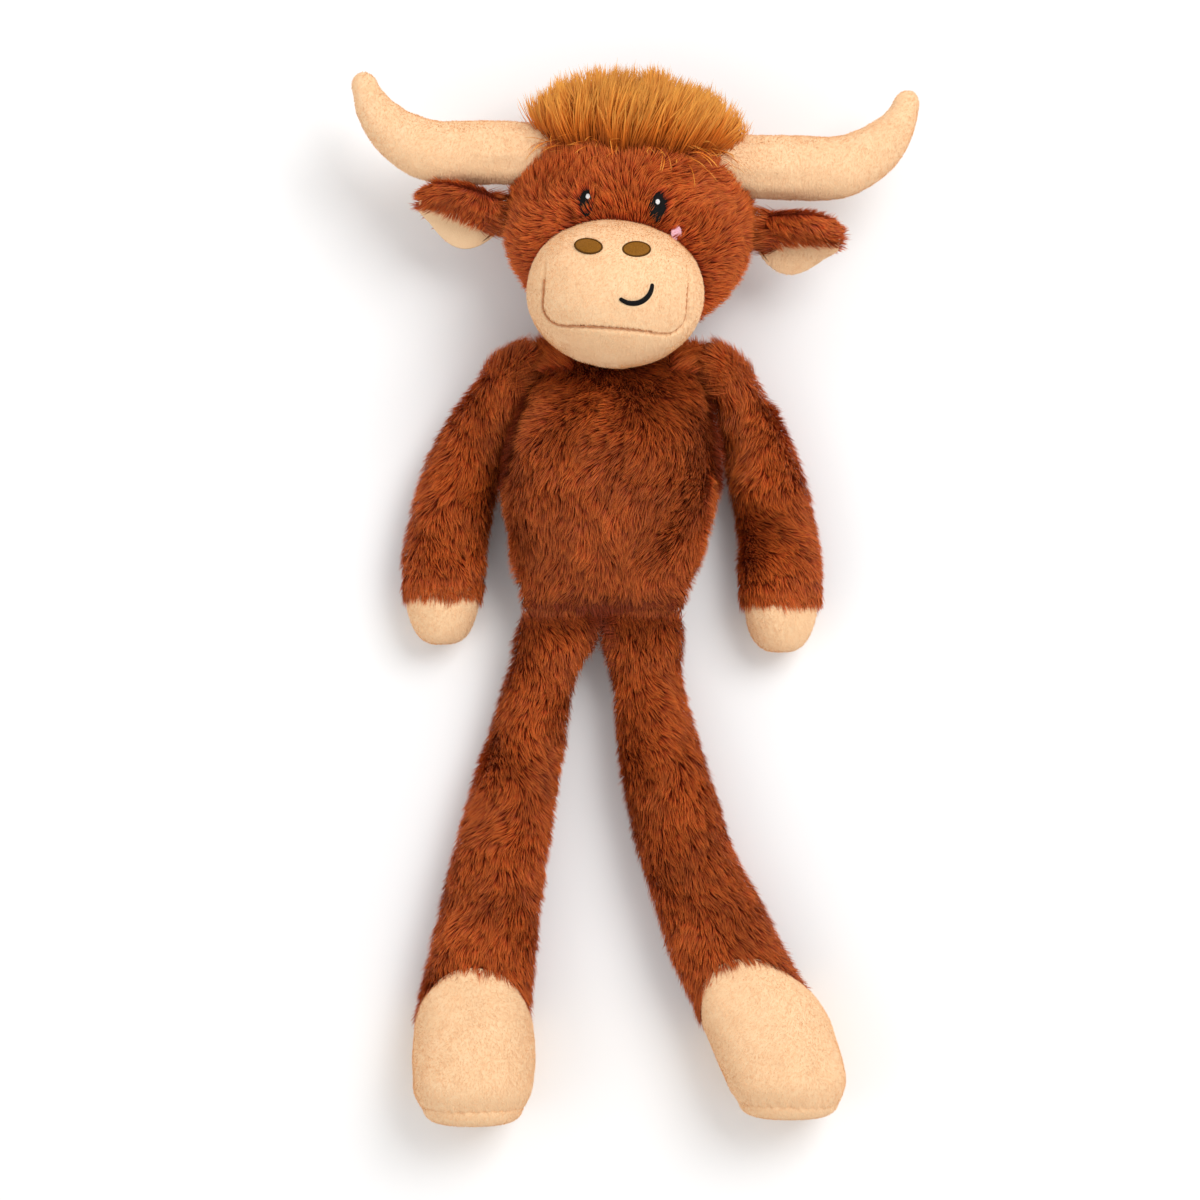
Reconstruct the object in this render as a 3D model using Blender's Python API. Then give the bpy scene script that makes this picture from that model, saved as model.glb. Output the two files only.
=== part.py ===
"""A stuffed long-legged cow that lies on its back.

X runs to the right, Y from the feet to the head and Z up from the surface that it lies on.
The origin is on the flat of the back, under the middle of the torso. All sizes are in metres.
Every soft part is a fabric skin over a core of stuffing, and each limb hangs on a sewn seam.
"""

import math

import bmesh
import bpy
import numpy as np
from mathutils import Matrix, Vector

# General fits
SEAM_GAP = 0.0003
CUT_GAP = 0.0004
FILL_GAP = 0.0007
FLAT_DEPTH = 0.0005
WELD_DISTANCE = 0.0000001
FUR_FABRIC = 0.0052
SMOOTH_FABRIC = 0.0018

# Counts of facets
BODY_SIDES = 24
LIMB_SIDES = 16
CORE_SIDES = 12
BODY_RINGS = 13
LIMB_RINGS = 12
CORE_RINGS = 8
HORN_RINGS = 9
HORN_SIDES = 12
HORN_CORE_SIDES = 10
FOOT_RINGS = 6
FOOT_CORE_RINGS = 5
HOOF_RINGS = 7
HOOF_CORE_RINGS = 5
MUZZLE_RINGS = 11
MUZZLE_SIDES = 20
MUZZLE_CORE_RINGS = 9
MUZZLE_CORE_SIDES = 16
FORELOCK_RINGS = 8
FORELOCK_SIDES = 18
ROD_SIDES = 12
PATCH_SIDES = 12
CORNER_STEPS = 4
SMILE_STEPS = 13
EAR_ROWS = 9
EAR_COLUMNS = 8

# Rings at a pinched end where a skin has no room for its inner wall or its stuffing
TORSO_WALL_FROM_RING = 3
TORSO_CORE_FROM = 4
LEG_WALL_FROM_RING = 2
LEG_CORE_FROM = 2
ARM_WALL_FROM_RING = 4
ARM_CORE_FROM = 4

# Torso
TORSO_LENGTH = 0.1145
TORSO_WIDTH = 0.0985
TORSO_DEPTH = 0.0765
TORSO_BOTTOM = -0.0598
TORSO_LEAN = 0.0085
TORSO_LENGTH_SHARES = (0.0, 0.08, 0.18, 0.34, 0.5, 0.62, 0.76, 0.88, 0.955, 1.0)
TORSO_WIDTH_SHARES = (0.71, 0.79, 0.89, 0.98, 1.0, 0.97, 0.88, 0.82, 0.79, 0.745)
TORSO_FRONT_SHARES = (0.368, 0.475, 0.625, 0.86, 0.98, 1.0, 0.92, 0.735, 0.565, 0.465)
TORSO_BACK_SHARES = (0.317, 0.225, 0.12, 0.02, 0.0, 0.0, 0.0, 0.07, 0.19, 0.385)
TORSO_PINCH_SHARE = 0.14
TORSO_TOP = TORSO_BOTTOM + TORSO_LENGTH
TORSO_TOP_HALF_WIDTH = TORSO_WIDTH * TORSO_WIDTH_SHARES[-1] / 2

# Seams that the limbs and the head turn on
SEAM_RADIUS = 0.002
HIP_Y = TORSO_BOTTOM - SEAM_GAP - SEAM_RADIUS
HIP_HEIGHT = 0.0262
HIP_LEFT_X = -0.0236
HIP_RIGHT_X = 0.0148
HIP_SEAM_LENGTH = 0.027
NECK_X = 0.0045
NECK_Y = TORSO_TOP + SEAM_GAP + SEAM_RADIUS
NECK_HEIGHT = 0.0330
NECK_SEAM_LENGTH = 0.040
SHOULDER_OUT_LEFT = 0.0028
SHOULDER_OUT_RIGHT = 0.0030
SHOULDER_UP = 0.0014
SHOULDER_LEFT_X = TORSO_LEAN / 2 - TORSO_TOP_HALF_WIDTH - SHOULDER_OUT_LEFT
SHOULDER_RIGHT_X = TORSO_LEAN / 2 + TORSO_TOP_HALF_WIDTH + SHOULDER_OUT_RIGHT
SHOULDER_Y = TORSO_TOP + SHOULDER_UP
SHOULDER_HEIGHT = 0.0330
SHOULDER_SEAM_LENGTH = 0.017

# Arms
ARM_LENGTH = 0.1175
ARM_WIDTH = 0.0372
ARM_DEPTH = 0.0350
ARM_CURVE_LEFT = math.radians(39)
ARM_CURVE_RIGHT = math.radians(34)
ARM_SPREAD_LEFT = math.radians(0.5)
ARM_SPREAD_RIGHT = math.radians(-1)
ARM_LENGTH_SHARES = (0.0, 0.1, 0.24, 0.42, 0.6, 0.8, 0.93, 1.0)
ARM_WIDTH_SHARES = (0.10, 0.48, 0.76, 0.94, 1.0, 1.0, 0.97, 0.93)
ARM_DEPTH_SHARES = (0.46, 0.58, 0.76, 0.92, 1.0, 1.0, 0.97, 0.93)
ARM_PINCH_SHARE = 0.3
ARM_SETTLE_SHARE = 0.5
HOOF_LENGTH = 0.0228
HOOF_WIDTH = 0.0345
HOOF_DEPTH = 0.0335
HOOF_CLOSE = math.radians(78)
HOOF_HOLD = math.radians(12)
HOOF_FULLNESS = 0.78
HOOF_START_SHARE = 0.6

# Legs
LEG_LENGTH = 0.1860
LEG_WIDTH = 0.0530
LEG_DEPTH = 0.0440
LEG_REACH_LEFT = 0.0387
LEG_REACH_RIGHT = 0.0509
LEG_BOW_LEFT = 0.0030
LEG_BOW_RIGHT = -0.0110
LEG_LENGTH_SHARES = (0.0, 0.08, 0.2, 0.36, 0.52, 0.7, 0.86, 1.0)
LEG_WIDTH_SHARES = (0.56, 0.62, 0.66, 0.74, 0.81, 0.88, 0.96, 1.0)
LEG_DEPTH_SHARES = (0.09, 0.48, 0.72, 0.84, 0.90, 0.96, 1.0, 1.0)
LEG_PINCH_SHARE = 0.2
LEG_SETTLE_SHARE = 0.36
LEG_TURN_SHARE = 0.3
LEG_SQUARE_SHARE = 0.7
FOOT_LENGTH = 0.0400
FOOT_SPLAY_LEFT = 0.0
FOOT_SPLAY_RIGHT = 0.72
FOOT_SQUARENESS = 2.3
FOOT_WIDTH = 0.0545
FOOT_DEPTH = 0.0540
FOOT_LENGTH_SHARES = (0.0, 0.3, 0.6, 0.82, 1.0)
FOOT_WIDTH_SHARES = (0.92, 0.99, 1.0, 0.97, 0.86)
FOOT_DEPTH_SHARES = (0.80, 0.89, 0.98, 1.0, 0.91)
SOLE_BULGE = 0.0065
SOLE_RIM = 0.0015
SOLE_WIDTH_SHARES = (0.86, 0.5)
SOLE_BULGE_SHARES = (0.62, 1.0)

# Head
HEAD_WIDTH = 0.1135
HEAD_HEIGHT = 0.1060
HEAD_DEPTH = 0.0920
HEAD_RISE = 0.0532
HEAD_ROLL = math.radians(-4)
HEAD_NECK_WIDTH = 0.044
HEAD_NECK_DEPTH = 0.007
FACE_SHIFT = -0.0042

# Muzzle
MUZZLE_WIDTH = 0.0780
MUZZLE_HEIGHT = 0.0655
MUZZLE_DEPTH = 0.0760
MUZZLE_RISE = 0.0208
MUZZLE_HEIGHT_OFF_BACK = 0.0740
PANEL_WIDTH = 0.0640
PANEL_BOTTOM = -0.0185
PANEL_CORNER = 0.0100

# Embroidery and patches
STITCH_HEIGHT = 0.0009
STITCH_EDGE_SHARE = 0.4
PATCH_RING_SHARES = (0.45, 0.8, 1.0)
EYE_SPREAD = 0.0160
EYE_RISE = 0.0585
EYE_WIDTH = 0.0084
EYE_HEIGHT = 0.0140
HIGHLIGHT_WIDTH = 0.0026
HIGHLIGHT_HEIGHT = 0.0032
HIGHLIGHT_RISE = 0.0028
NOSTRIL_SHIFT = -0.0025
NOSTRIL_SPREAD = 0.0104
NOSTRIL_RISE = 0.0375
NOSTRIL_WIDTH = 0.0118
NOSTRIL_HEIGHT = 0.0066
NOSTRIL_TILT = math.radians(6)
SMILE_X = 0.0073
SMILE_RISE = 0.0220
SMILE_RADIUS = 0.0084
SMILE_WIDTH = 0.0023
SMILE_FROM = math.radians(232)
SMILE_TO = math.radians(366)
SMILE_END_SHARE = 0.55
SMILE_TOP_SHARE = 0.7
CHEEK_SPREAD = 0.0268
CHEEK_RISE = 0.0482
CHEEK_WIDTH = 0.0096
CHEEK_HEIGHT = 0.0116

# Horns
HORN_THICKNESS = 0.0262
HORN_RUN = 0.0420
HORN_BEND_RADIUS = 0.0400
HORN_BEND = math.radians(82)
HORN_ROOT_X = 0.0400
HORN_RISE = 0.0815
HORN_HEIGHT = 0.0500
HORN_TILT_LEFT = math.radians(-3)
HORN_TILT_RIGHT = math.radians(3)
HORN_THICKNESS_SHARES = (1.0, 1.02, 1.05, 1.06, 1.02, 0.93, 0.78, 0.57, 0.33)

# Ears
EAR_SEAM_RADIUS = 0.0010
EAR_SEAM_LENGTH = 0.0130
EAR_LENGTH = 0.0350
EAR_WIDTH = 0.0360
EAR_BACK_THICKNESS = 0.0048
EAR_LINING_THICKNESS = 0.0020
EAR_CUP = 0.0060
EAR_RISE_LEFT = 0.0545
EAR_RISE_RIGHT = 0.0555
EAR_HEIGHT = 0.0460
EAR_TURN = math.radians(41)
EAR_DROOP_LEFT = math.radians(-4)
EAR_DROOP_RIGHT = math.radians(5)
EAR_ROOT_SHARE = 0.45
EAR_ROOT_RUN_SHARE = 0.3
EAR_OUTLINE_FROM_SHARE = 0.16
EAR_OUTLINE_RUN_SHARE = 0.80
EAR_FULLNESS = 0.8
EAR_SIDE_THINNING_SHARE = 0.55
EAR_TIP_THINNING_SHARE = 0.35
EAR_PINCH_SHARE = 0.35
EAR_PINCH_GROWTH = 3.2
EAR_CUP_FROM_SHARE = 0.15
EAR_LINING_WIDTH_SHARE = 0.93

# Forelock
FORELOCK_WIDTH = 0.0920
FORELOCK_HEIGHT = 0.0560
FORELOCK_DEPTH = 0.0300
FORELOCK_RISE = 0.1015
FORELOCK_HEIGHT_OFF_BACK = 0.0680
FORELOCK_TILT = math.radians(-38)
FORELOCK_X = -0.0010
FORELOCK_FULLNESS = 0.8
FORELOCK_FAN_SHARE = 0.06

# Colours and roughness
BROWN_FUR = (0.35, 0.075, 0.018)
GOLDEN_FUR = (0.50, 0.17, 0.035)
PEACH_MINKY = (0.93, 0.60, 0.34)
PALE_THREAD = (0.92, 0.92, 0.90)
DARK_THREAD = (0.012, 0.011, 0.011)
NOSTRIL_THREAD = (0.15, 0.07, 0.02)
CHEEK_FELT = (0.80, 0.35, 0.45)
FILLING = (0.88, 0.88, 0.86)
SEAM_THREAD = (0.20, 0.05, 0.02)
FABRIC_ROUGHNESS = 0.92
THREAD_ROUGHNESS = 0.55

SQUARE_TURN = math.radians(90)


def clear_scene():
    for item in list(bpy.data.objects):
        bpy.data.objects.remove(item)


def fabric(name, colour, roughness=FABRIC_ROUGHNESS):
    found = bpy.data.materials.get(name)
    if found:
        return found
    made = bpy.data.materials.new(name)
    made.use_nodes = True
    shader = made.node_tree.nodes["Principled BSDF"]
    shader.inputs["Base Color"].default_value = (*colour, 1)
    shader.inputs["Roughness"].default_value = roughness
    shader.inputs["Metallic"].default_value = 0
    made.diffuse_color = (*colour, 1)
    return made


def joint_frame(name, place, turn=0.0, parent=None):
    """An empty on a joint's axis. What turns with the joint hangs on it."""
    frame = bpy.data.objects.new(name, None)
    bpy.context.collection.objects.link(frame)
    frame.location = place
    frame.rotation_euler = (0, 0, turn)
    frame.parent = parent
    return frame


def mesh_piece(name, points, faces, look, frame=None):
    """A named object whose points are given in its frame."""
    mesh = bpy.data.meshes.new(name)
    mesh.from_pydata([tuple(p) for p in points], [], faces)
    mesh.materials.append(look)
    mesh.shade_smooth()
    piece = bpy.data.objects.new(name, mesh)
    bpy.context.collection.objects.link(piece)
    piece.parent = frame
    return piece


def smooth_shares(places, values, count):
    """Values at evenly spread places on a smooth curve through hand-chosen shares."""
    places = np.asarray(places)
    values = np.asarray(values)
    slopes = np.gradient(values, places)
    wanted = np.linspace(places[0], places[-1], count)
    i = np.clip(np.searchsorted(places, wanted, side="right") - 1, 0, len(places) - 2)
    step = places[i + 1] - places[i]
    t = (wanted - places[i]) / step
    start = (1 + 2 * t) * (1 - t) ** 2 * values[i] + t * (1 - t) ** 2 * step * slopes[i]
    end = t**2 * (3 - 2 * t) * values[i + 1] - t**2 * (1 - t) * step * slopes[i + 1]
    return wanted, start + end


def ring(centre, half_width, half_depth, sides, squareness=2.0):
    """Points of an upright oval round centre, across X and Z, seen from the +Y side."""
    angles = np.arange(sides) * 2 * math.pi / sides
    power = 2 / squareness
    across = np.sign(np.cos(angles)) * np.abs(np.cos(angles)) ** power
    up = np.sign(np.sin(angles)) * np.abs(np.sin(angles)) ** power
    return np.stack(
        [
            centre[0] + half_width * across,
            np.full(sides, centre[1]),
            centre[2] + half_depth * up,
        ],
        axis=1,
    )


def joined(rings, closed_start=True, closed_end=True):
    """Points and faces of a skin through rings, with a fan of triangles at each closed end."""
    rings = np.asarray(rings)
    count, sides = rings.shape[:2]
    points = [tuple(p) for p in rings.reshape(-1, 3)]
    faces = []
    for i in range(count - 1):
        for j in range(sides):
            k = (j + 1) % sides
            faces.append((i * sides + j, i * sides + k, (i + 1) * sides + k, (i + 1) * sides + j))
    if closed_start:
        points.append(tuple(rings[0].mean(axis=0)))
        middle = len(points) - 1
        faces += [(middle, (j + 1) % sides, j) for j in range(sides)]
    if closed_end:
        points.append(tuple(rings[-1].mean(axis=0)))
        middle = len(points) - 1
        last = (count - 1) * sides
        faces += [(middle, last + j, last + (j + 1) % sides) for j in range(sides)]
    return points, faces


def shell(outer, inner, open_start=False):
    """A skin between outer and inner rings, open at the last rings and also, if asked, at the first."""
    points, faces = joined(outer, closed_start=not open_start, closed_end=False)
    inner_points, inner_faces = joined(inner, closed_start=not open_start, closed_end=False)
    shift = len(points)
    faces += [tuple(shift + v for v in reversed(face)) for face in inner_faces]
    sides = len(outer[0])
    ends = [((len(outer) - 1) * sides, (len(inner) - 1) * sides, False)]
    if open_start:
        ends.append((0, 0, True))
    for first, second, flipped in ends:
        for j in range(sides):
            k = (j + 1) % sides
            rim = (first + j, first + k, shift + second + k, shift + second + j)
            faces.append(tuple(reversed(rim)) if flipped else rim)
    return points + inner_points, faces


def faced_out(piece):
    """Turns every face of a closed piece outwards."""
    work = bmesh.new()
    work.from_mesh(piece.data)
    bmesh.ops.recalc_face_normals(work, faces=work.faces)
    if work.calc_volume(signed=True) < 0:
        bmesh.ops.reverse_faces(work, faces=work.faces)
    work.to_mesh(piece.data)
    work.free()
    return piece


def flat_below(piece, height=0.0):
    """Cuts the piece flat at a world height, where it rests on the surface below."""
    bpy.context.view_layer.update()
    to_local = piece.matrix_world.inverted()
    normal = to_local.to_3x3() @ Vector((0, 0, 1))
    work = bmesh.new()
    work.from_mesh(piece.data)
    trimmed = bmesh.ops.bisect_plane(
        work,
        geom=work.verts[:] + work.edges[:] + work.faces[:],
        plane_co=to_local @ Vector((0, 0, height)),
        plane_no=normal,
        clear_inner=True,
        dist=WELD_DISTANCE,
    )
    edges = [e for e in trimmed["geom_cut"] if isinstance(e, bmesh.types.BMEdge)]
    bmesh.ops.holes_fill(work, edges=edges, sides=0)
    bmesh.ops.recalc_face_normals(work, faces=work.faces)
    work.to_mesh(piece.data)
    work.free()
    return piece


def cutter(name, points, faces, frame=None):
    made = faced_out(mesh_piece(name, points, faces, fabric("guide", FILLING), frame))
    made.hide_render = True
    made.display_type = "WIRE"
    return made


def cut(piece, tool, operation="DIFFERENCE"):
    step = piece.modifiers.new("fit to " + tool.name, "BOOLEAN")
    step.operation = operation
    step.solver = "EXACT"
    step.object = tool
    return piece


def torso_rings(count, sides, inset=0.0, end_inset=0.0):
    """Outlines of the torso from the hip seam to the neck seam, drawn in by inset.

    The inset fades to end_inset at both sewn ends, where the fabric is pinched flat.
    """
    shares, widths = smooth_shares(TORSO_LENGTH_SHARES, TORSO_WIDTH_SHARES, count)
    fronts = smooth_shares(TORSO_LENGTH_SHARES, TORSO_FRONT_SHARES, count)[1]
    backs = smooth_shares(TORSO_LENGTH_SHARES, TORSO_BACK_SHARES, count)[1]
    found = []
    for share, width, front, back in zip(shares, widths, fronts, backs):
        fade = min(1.0, (1 - share) / TORSO_PINCH_SHARE)
        drawn_in = end_inset + (inset - end_inset) * fade
        middle = (front + back) / 2 * TORSO_DEPTH - FLAT_DEPTH
        half_depth = (front - back) / 2 * TORSO_DEPTH
        centre = (TORSO_LEAN * (share - 0.5), TORSO_BOTTOM + TORSO_LENGTH * share, middle)
        half_width = width * TORSO_WIDTH / 2
        found.append(ring(centre, half_width - drawn_in, half_depth - drawn_in, sides))
    return found


def make_torso():
    fur = fabric("brown plush", BROWN_FUR)
    outer = torso_rings(BODY_RINGS, BODY_SIDES)
    inner = torso_rings(BODY_RINGS, BODY_SIDES, FUR_FABRIC, SMOOTH_FABRIC)[TORSO_WALL_FROM_RING:]
    skin = faced_out(mesh_piece("torso_skin", *shell(outer, inner), fur))
    flat_below(skin)
    core = torso_rings(BODY_RINGS, CORE_SIDES, FUR_FABRIC + FILL_GAP + SEAM_GAP, SMOOTH_FABRIC + FILL_GAP)
    core = core[TORSO_CORE_FROM:-1]
    faced_out(mesh_piece("torso_stuffing", *joined(core), fabric("polyester filling", FILLING)))
    return skin


def seam_rod(name, centre, length, axis, frame=None, radius=SEAM_RADIUS):
    """A rolled, stitched seam allowance on a joint's axis."""
    bpy.ops.mesh.primitive_cylinder_add(vertices=ROD_SIDES, radius=radius, depth=length)
    rod = bpy.context.object
    rod.name = name
    rod.data.materials.append(fabric("seam thread", SEAM_THREAD, THREAD_ROUGHNESS))
    turns = {"X": (0, SQUARE_TURN, 0), "Y": (SQUARE_TURN, 0, 0), "Z": (0, 0, 0)}
    rod.rotation_euler = turns[axis]
    rod.location = centre
    rod.parent = frame
    rod.data.shade_smooth()
    return rod


def leg_centre(share, reach, bow):
    """Sideways place of a leg's middle at a share of its length down from the hip."""
    return reach * share + bow * 4 * share * (1 - share)


def leg_drop(reach):
    """How far a leg's ankle lies below its hip seam."""
    return math.sqrt(LEG_LENGTH**2 - reach**2)


def leg_slope(share, reach, bow):
    """How steeply a leg's middle runs sideways at a share of its length."""
    return (reach + bow * 4 * (1 - 2 * share)) / leg_drop(reach)


def leg_turn(share, reach, bow):
    """How far a leg's outline turns from level, to stand nearly square to its run."""
    return math.atan(leg_slope(share, reach, bow)) * LEG_SQUARE_SHARE * min(1.0, share / LEG_TURN_SHARE)


def turned_ring(centre, turn, half_width, half_depth, sides, squareness=2.0):
    """An upright oval round centre, turned about Z."""
    flat = ring((0, 0, 0), half_width, half_depth, sides, squareness)
    return flat @ np.array(Matrix.Rotation(turn, 3, "Z")).T + centre


def leg_sections(side, reach, bow, inset, end_inset, count, sides):
    """Rings of a leg's fur part in its hip frame, from the pinched hip edge to the ankle."""
    shares, widths = smooth_shares(LEG_LENGTH_SHARES, LEG_WIDTH_SHARES, count)
    depths = smooth_shares(LEG_LENGTH_SHARES, LEG_DEPTH_SHARES, count)[1]
    start = SEAM_RADIUS + SEAM_GAP
    found = []
    for share, width, depth in zip(shares, widths, depths):
        fade = min(1.0, share / LEG_PINCH_SHARE)
        drawn_in = end_inset + (inset - end_inset) * fade
        half_depth = depth * LEG_DEPTH / 2
        settled = min(1.0, share / LEG_SETTLE_SHARE)
        settled = settled * settled * (3 - 2 * settled)
        height = settled * (half_depth - FLAT_DEPTH - HIP_HEIGHT)
        centre = (side * leg_centre(share, reach, bow), -start - share * leg_drop(reach), height)
        turn = side * leg_turn(share, reach, bow)
        half_width = width * LEG_WIDTH / 2
        found.append(turned_ring(centre, turn, half_width - drawn_in, half_depth - drawn_in, sides))
    return found


def foot_sections(side, reach, bow, splay, inset, count, sides):
    """Rings of a foot in its hip frame, from the ankle to the sole. It sets off at its splay's slope."""
    shares, widths = smooth_shares(FOOT_LENGTH_SHARES, FOOT_WIDTH_SHARES, count)
    depths = smooth_shares(FOOT_LENGTH_SHARES, FOOT_DEPTH_SHARES, count)[1]
    ankle = SEAM_RADIUS + SEAM_GAP + leg_drop(reach) + SEAM_GAP
    turn = side * leg_turn(1, reach, bow)
    found = []
    for share, width, depth in zip(shares, widths, depths):
        run = share * FOOT_LENGTH
        half_depth = depth * FOOT_DEPTH / 2
        sideways = side * (reach + splay * run * (1 - share / 2))
        centre = (sideways, -ankle - run, half_depth - FLAT_DEPTH - HIP_HEIGHT)
        half_width = width * FOOT_WIDTH / 2 - inset
        here = turn * (1 - share)
        found.append(turned_ring(centre, here, half_width, half_depth - inset, sides, FOOT_SQUARENESS))
    return found


def sole_sections(rim):
    """Rings of a sole: a short upright rim, then a shallow bulge."""
    middle = rim.mean(axis=0)
    widths = (1.0, 1.0, *SOLE_WIDTH_SHARES)
    depths = (0.0, SOLE_RIM, *(share * SOLE_BULGE for share in SOLE_BULGE_SHARES))
    found = []
    for width, depth in zip(widths, depths):
        drawn = middle + (rim - middle) * width
        drawn[:, 1] -= SEAM_GAP + depth
        found.append(drawn)
    return found


def make_leg(word, side, hip_x, reach, bow, splay):
    frame = joint_frame("hip_axis_" + word, (hip_x, HIP_Y, HIP_HEIGHT))
    fur = fabric("brown plush", BROWN_FUR)
    minky = fabric("peach minky", PEACH_MINKY)
    outer = leg_sections(side, reach, bow, 0, 0, LIMB_RINGS, LIMB_SIDES)
    inner = leg_sections(side, reach, bow, FUR_FABRIC, SMOOTH_FABRIC, LIMB_RINGS, LIMB_SIDES)
    inner = inner[LEG_WALL_FROM_RING:]
    skin = faced_out(mesh_piece("leg_skin_" + word, *shell(outer, inner), fur, frame))
    flat_below(skin)

    outer = foot_sections(side, reach, bow, splay, 0, FOOT_RINGS, LIMB_SIDES)
    inner = foot_sections(side, reach, bow, splay, SMOOTH_FABRIC, FOOT_RINGS, LIMB_SIDES)
    upper = mesh_piece("foot_" + word, *shell(outer, inner, open_start=True), minky, frame)
    flat_below(faced_out(upper))

    sole = faced_out(mesh_piece("sole_" + word, *joined(sole_sections(outer[-1])), minky, frame))
    flat_below(sole)

    core_inset = FUR_FABRIC + FILL_GAP + SEAM_GAP
    core = leg_sections(side, reach, bow, core_inset, SMOOTH_FABRIC + FILL_GAP, CORE_RINGS, CORE_SIDES)
    core = core[LEG_CORE_FROM:]
    foot_inset = SMOOTH_FABRIC + FILL_GAP + SEAM_GAP
    core += foot_sections(side, reach, bow, splay, foot_inset, FOOT_CORE_RINGS, CORE_SIDES)[1:]
    look = fabric("polyester filling", FILLING)
    faced_out(mesh_piece("leg_stuffing_" + word, *joined(core), look, frame))
    seam_rod("hip_seam_" + word, (hip_x, HIP_Y, HIP_HEIGHT), HIP_SEAM_LENGTH, "X")


def arm_path(share, side, curve, spread, length):
    """Middle and heading of an arm in its shoulder frame. It bends from outwards to straight down."""
    heading = curve * (1 - share) + spread
    radius = length / curve
    out = radius * (math.cos(heading) - math.cos(curve + spread))
    down = radius * (math.sin(curve + spread) - math.sin(heading))
    return np.array((side * out, -down, 0.0)), side * heading


def arm_height(half_depth, share):
    settled = min(1.0, share / ARM_SETTLE_SHARE)
    settled = settled * settled * (3 - 2 * settled)
    return settled * (half_depth - FLAT_DEPTH - SHOULDER_HEIGHT)


def arm_sections(side, curve, spread, inset, end_inset, count, sides):
    """Rings of an arm's fur part in its shoulder frame, from the pinched top to the cuff."""
    shares, widths = smooth_shares(ARM_LENGTH_SHARES, ARM_WIDTH_SHARES, count)
    depths = smooth_shares(ARM_LENGTH_SHARES, ARM_DEPTH_SHARES, count)[1]
    start, heading = arm_path(0.0, side, curve, spread, ARM_LENGTH)
    offset = (SEAM_RADIUS + SEAM_GAP) * np.array((math.sin(heading), -math.cos(heading), 0))
    found = []
    for share, width, depth in zip(shares, widths, depths):
        fade = min(1.0, share / ARM_PINCH_SHARE)
        drawn_in = end_inset + (inset - end_inset) * fade
        half_depth = depth * ARM_DEPTH / 2
        middle, heading = arm_path(share, side, curve, spread, ARM_LENGTH)
        middle = middle + offset
        middle[2] = arm_height(half_depth, share)
        half_width = width * ARM_WIDTH / 2
        found.append(turned_ring(middle, heading, half_width - drawn_in, half_depth - drawn_in, sides))
    return found


def hoof_sections(side, curve, spread, inset, count, sides, tip_gap):
    """Rings of a rounded hoof beyond the cuff, closing towards its tip."""
    end, heading = arm_path(1.0, side, curve, spread, ARM_LENGTH)
    first = arm_path(0.0, side, curve, spread, ARM_LENGTH)[1]
    offset = (SEAM_RADIUS + SEAM_GAP) * np.array((math.sin(first), -math.cos(first), 0))
    forward = np.array((math.sin(heading), -math.cos(heading), 0))
    found = []
    for i in range(count):
        turn = i / (count - 1) * HOOF_CLOSE
        straight = min(1.0, i / 2)
        size = math.cos(max(0.0, turn - HOOF_HOLD)) ** HOOF_FULLNESS
        eased = HOOF_START_SHARE + (1 - HOOF_START_SHARE) * straight
        run = SEAM_GAP + (HOOF_LENGTH - tip_gap) * math.sin(turn) * eased
        half_depth = size * (HOOF_DEPTH / 2 - inset)
        middle = end + offset + forward * run
        middle[2] = HOOF_DEPTH / 2 - FLAT_DEPTH - SHOULDER_HEIGHT
        half_width = size * (HOOF_WIDTH / 2 - inset)
        found.append(turned_ring(middle, heading, half_width, half_depth, sides))
    return found


def make_arm(word, side, place, curve, spread, body_guide):
    frame = joint_frame("shoulder_axis_" + word, place)
    fur = fabric("brown plush", BROWN_FUR)
    minky = fabric("peach minky", PEACH_MINKY)
    outer = arm_sections(side, curve, spread, 0, 0, LIMB_RINGS, LIMB_SIDES)
    inner = arm_sections(side, curve, spread, FUR_FABRIC, SMOOTH_FABRIC, LIMB_RINGS, LIMB_SIDES)
    inner = inner[ARM_WALL_FROM_RING:]
    skin = faced_out(mesh_piece("arm_skin_" + word, *shell(outer, inner), fur, frame))
    flat_below(skin)
    cut(skin, body_guide)

    outer = hoof_sections(side, curve, spread, 0, HOOF_RINGS, LIMB_SIDES, 0)[::-1]
    inner = hoof_sections(side, curve, spread, SMOOTH_FABRIC, HOOF_RINGS, LIMB_SIDES, SMOOTH_FABRIC)[::-1]
    hoof = faced_out(mesh_piece("hoof_" + word, *shell(outer, inner), minky, frame))
    flat_below(hoof)

    core_inset = FUR_FABRIC + FILL_GAP + SEAM_GAP
    core = arm_sections(side, curve, spread, core_inset, SMOOTH_FABRIC + FILL_GAP, CORE_RINGS, CORE_SIDES)
    core = core[ARM_CORE_FROM:]
    hoof_inset = SMOOTH_FABRIC + FILL_GAP + SEAM_GAP
    core += hoof_sections(side, curve, spread, hoof_inset, HOOF_CORE_RINGS, CORE_SIDES, hoof_inset)[1:]
    look = fabric("polyester filling", FILLING)
    faced_out(mesh_piece("arm_stuffing_" + word, *joined(core), look, frame))
    seam_rod("shoulder_seam_" + word, place, SHOULDER_SEAM_LENGTH, "Z")


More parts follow.
